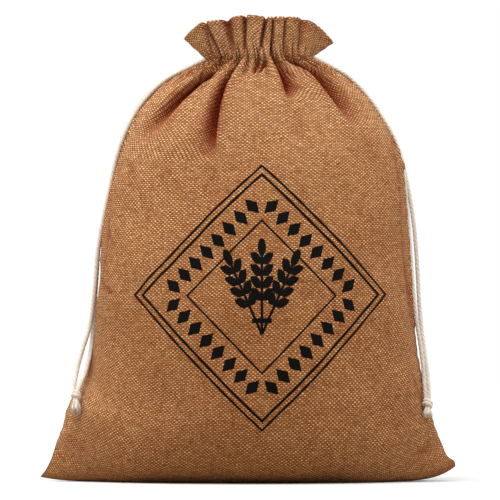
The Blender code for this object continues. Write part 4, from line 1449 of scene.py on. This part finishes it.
class SACK_OT_add_knots(bpy.types.Operator):
    """Tie the knots and fray their tails"""

    bl_idname = "sack.add_knots"
    bl_label = "Add Knots"

    def execute(self, context):
        settings = context.scene.sack_cords
        finish = cotton_finish("cotton_knots", settings)
        for name, (_, place, swing, tail) in KNOTS.items():
            parts = (self.wraps(settings), self.core(tail), self.fray(tail, name))
            points, faces, places = self.joined(parts)
            item = add_piece(name + "_tied", hanging(points, place, swing), faces, finish, {"cord": places})
            dress(item, name)
        return {"FINISHED"}

    @staticmethod
    def wraps(settings):
        """The knot's wraps: a rope carried along a helix that bulges and ends in the knot's core."""
        part = np.linspace(0.0, 1.0, KNOT_RINGS)
        arch = np.sin(math.pi * part)
        turn = 2.0 * math.pi * KNOT_TURNS * part + KNOT_START_TURN
        bulge = KNOT_LOOP_RADIUS * arch ** KNOT_BULGE_POWER
        drop = partway(KNOT_TOP, KNOT_HEIGHT - KNOT_FOOT, part) + KNOT_WAVE * np.sin(turn + KNOT_WAVE_START)
        path = np.stack([bulge * np.cos(turn), KNOT_DEPTH_SHARE * bulge * np.sin(turn), -drop], axis=-1)
        thickness = partway(KNOT_STRAND_THIN, 1.0, arch ** KNOT_STRAND_POWER)
        return rope_surface(path, settings.knot_strand * thickness, KNOT_SIDES, settings.cord_lay, UPWARD)

    @staticmethod
    def core(tail):
        """The strands inside the knot and the tail's body: a ribbed profile turned round the axis.

        The radius dips between the ribs by the size of a sine of the angle and the part."""
        part = np.linspace(0.0, 1.0, CORE_RINGS)[:, None]
        drop = part * (KNOT_HEIGHT + CORE_TAIL_SHARE * tail)
        angle = ring_turns(CORE_SIDES)
        lobe = np.abs(np.sin(CORE_RIB_PACE * angle + CORE_RIB_TWIST * part))
        ribs = CORE_RIB_DEPTH + CORE_RIB_DEEPENING * part
        reach = smooth_curve(CORE["part"], CORE["radius"], part) * (1.0 - ribs * (1.0 - lobe))
        rings = np.stack([reach * np.cos(angle), KNOT_DEPTH_SHARE * reach * np.sin(angle),
                          np.broadcast_to(-drop, reach.shape)], axis=-1)
        return capped_tube(rings, drop[:, 0])

    @staticmethod
    def fray(tail, name):
        """Loose fibres of the tail: thin three-sided strands that spread and curl from the knot's foot.

        The spread grows with a power of the sine of the part, the curl with its square."""
        random = np.random.default_rng(TAIL_SEED + len(name))
        angle = random.uniform(0.0, 2.0 * math.pi, TAIL_FIBRES)[:, None]
        out = np.sqrt(random.uniform(TAIL_INNERMOST, 1.0, TAIL_FIBRES))[:, None]
        length = tail * random.uniform(*TAIL_LENGTHS, TAIL_FIBRES)[:, None]
        curl = random.normal(0.0, TAIL_CURL, (TAIL_FIBRES, 2))
        tint = random.uniform(0.0, 1.0, TAIL_FIBRES)
        part = np.linspace(0.0, 1.0, TAIL_FIBRE_RINGS)
        reach = out * partway(TAIL_ROOT, TAIL_SPREAD, np.sin(0.5 * math.pi * part) ** TAIL_SPREAD_POWER)
        path = np.stack([
            reach * np.cos(angle) + curl[:, :1] * part ** 2,
            KNOT_DEPTH_SHARE * reach * np.sin(angle) + curl[:, 1:] * part ** 2,
            -(KNOT_HEIGHT - KNOT_FOOT + length * part)], axis=-1)[:, :, None]
        side = ring_turns(TAIL_FIBRE_SIDES)
        ring = np.stack([np.cos(side), np.sin(side), np.zeros(TAIL_FIBRE_SIDES)], axis=-1)
        size = TAIL_FIBRE_RADIUS * (1.0 - TAIL_FIBRE_TAPER * part)[:, None, None]
        pole = np.zeros_like(ring)
        rings = np.concatenate([path[:, :1] + pole, path + size * ring, path[:, -1:] + pole], axis=1)
        count = TAIL_FIBRE_RINGS + 2
        each = count * TAIL_FIBRE_SIDES
        faces = np.concatenate([ring_faces(count, TAIL_FIBRE_SIDES, k * each) for k in range(TAIL_FIBRES)])
        run = np.repeat(np.linspace(0.0, tail, count), TAIL_FIBRE_SIDES)
        places = np.stack([np.repeat(tint, each), np.tile(run, TAIL_FIBRES)], axis=-1)
        return rings.reshape(-1, 3), faces, places

    @staticmethod
    def joined(parts):
        """Several closed parts as one, each turned so that its faces point away from its middle."""
        points, faces, places, start = [], [], [], 0
        for spots, quads, spread in parts:
            first, second, third = (spots[quads[:, corner]] for corner in range(3))
            outwards = ((first - spots.mean(axis=0)) * np.cross(second - first, third - first)).sum()
            points.append(spots)
            faces.append((quads if outwards > 0.0 else quads[:, ::-1]) + start)
            places.append(spread)
            start += len(spots)
        return np.concatenate(points), np.concatenate(faces), np.concatenate(places)


class SACK_OT_add_cords(bpy.types.Operator):
    """Hang the four strands of twisted cotton cord"""

    bl_idname = "sack.add_cords"
    bl_label = "Add Cords"

    def execute(self, context):
        settings = context.scene.sack_cords
        finish = cotton_finish("cotton_cord", settings)
        for knot, (strands, *_) in KNOTS.items():
            for name in strands:
                self.add_strand(settings, name, knot, finish)
        return {"FINISHED"}

    @staticmethod
    def add_strand(settings, name, knot, finish):
        """One strand: a smooth curve through its route, which starts a little inside the casing."""
        route = np.array(CORD_ROUTES[name])
        tuck = route[0] + unit(route[0] - route[1]) * CORD_TUCK
        route = np.concatenate([[tuck], route])
        path = smooth_route(route, int(path_length(route) * CORD_RINGS_TO_A_METRE))
        points, faces, places = rope_surface(
            path, 0.5 * settings.cord_diameter, CORD_SIDES, settings.cord_lay, BACKWARD)
        item = add_piece(name + "_rope", points, faces, finish, {"cord": places})
        dress(item, name)


class SACK_OT_add_stage(bpy.types.Operator):
    """Set the floor, the light and the camera"""

    bl_idname = "sack.add_stage"
    bl_label = "Add Stage"

    def execute(self, context):
        scene, settings = context.scene, context.scene.sack_stage
        scene.view_settings.view_transform = "Standard"
        scene.view_settings.look = "None"
        self.add_floor(settings)
        self.add_light(scene, settings)
        self.add_camera(scene, settings)
        return {"FINISHED"}

    @staticmethod
    def add_floor(settings):
        """A wide level floor."""
        mesh = bpy.data.meshes.new("floor")
        corners = [(FLOOR_REACH * x, FLOOR_REACH * y, 0.0) for x, y in ((-1, -1), (1, -1), (1, 1), (-1, 1))]
        mesh.from_pydata(corners, [], [(0, 1, 2, 3)])
        mesh.materials.append(floor_finish(settings.floor_colour, settings.floor_bounce))
        add_object("floor", mesh)

    @staticmethod
    def add_light(scene, settings):
        """A broad top light, a softer light from either side, and an even fill from all round.

        The camera sees a plain white background in the fill's place."""
        for name, strength, towards in LIGHTS:
            light = bpy.data.lights.new(name, "SUN")
            light.energy = getattr(settings, strength)
            light.angle = settings.softness
            add_object(name, light).rotation_euler = turned_to(towards)
        world = bpy.data.worlds.new("studio")
        world.use_nodes = True
        nodes, links = world.node_tree.nodes, world.node_tree.links
        mix = nodes.new("ShaderNodeMixShader")
        glows = (nodes["Background"], settings.fill_strength), (nodes.new("ShaderNodeBackground"), 1.0)
        for slot, (glow, strength) in enumerate(glows, start=1):
            glow.inputs["Color"].default_value = (1.0, 1.0, 1.0, 1.0)
            glow.inputs["Strength"].default_value = strength
            links.new(glow.outputs[0], mix.inputs[slot])
        links.new(nodes.new("ShaderNodeLightPath").outputs["Is Camera Ray"], mix.inputs[0])
        links.new(mix.outputs[0], nodes["World Output"].inputs["Surface"])
        scene.world = world

    @staticmethod
    def add_camera(scene, settings):
        """A camera low in front of the sack, framed like the photograph."""
        lens = bpy.data.cameras.new("camera")
        lens.sensor_width = SENSOR_WIDTH
        lens.lens = SENSOR_WIDTH * settings.camera_distance / settings.view_width
        camera = add_object("camera", lens)
        aim = Vector((settings.aim_x, 0.0, settings.aim_height))
        camera.location = (settings.aim_x, -settings.camera_distance, settings.camera_height)
        camera.rotation_euler = turned_to(aim - Vector(camera.location))
        scene.camera = camera


class SACK_PT_tools(bpy.types.Panel):
    """Steps and sizes of the sack"""

    bl_idname = "SACK_PT_tools"
    bl_label = "Burlap Sack"
    bl_space_type = "VIEW_3D"
    bl_region_type = "UI"
    bl_category = "Sack"

    def draw(self, context):
        for key, group in SETTINGS.items():
            box = self.layout.box()
            for name in group.__annotations__:
                box.prop(getattr(context.scene, key), name)
        for operator in STEPS:
            self.layout.operator(operator.bl_idname)


STEPS = (SACK_OT_add_stage, SACK_OT_add_knots, SACK_OT_add_cords, SACK_OT_add_panels)
SETTINGS = {"sack_cloth": SackClothSettings, "sack_cords": SackCordSettings, "sack_stage": SackStageSettings}


def register():
    """Adds the settings, the steps and the sidebar panel."""
    for group in (*SETTINGS.values(), *STEPS, SACK_PT_tools):
        bpy.utils.register_class(group)
    for name, group in SETTINGS.items():
        setattr(bpy.types.Scene, name, PointerProperty(type=group))


def unregister():
    """Removes what register added."""
    for name in SETTINGS:
        delattr(bpy.types.Scene, name)
    for group in (SACK_PT_tools, *reversed(STEPS), *reversed(SETTINGS.values())):
        bpy.utils.unregister_class(group)


def main():
    """Builds the whole scene."""
    register()
    bpy.ops.sack.add_stage()
    bpy.ops.sack.add_knots()
    bpy.ops.sack.add_cords()
    bpy.ops.sack.add_panels()
    bpy.context.view_layer.update()


if __name__ == "__main__":
    main()
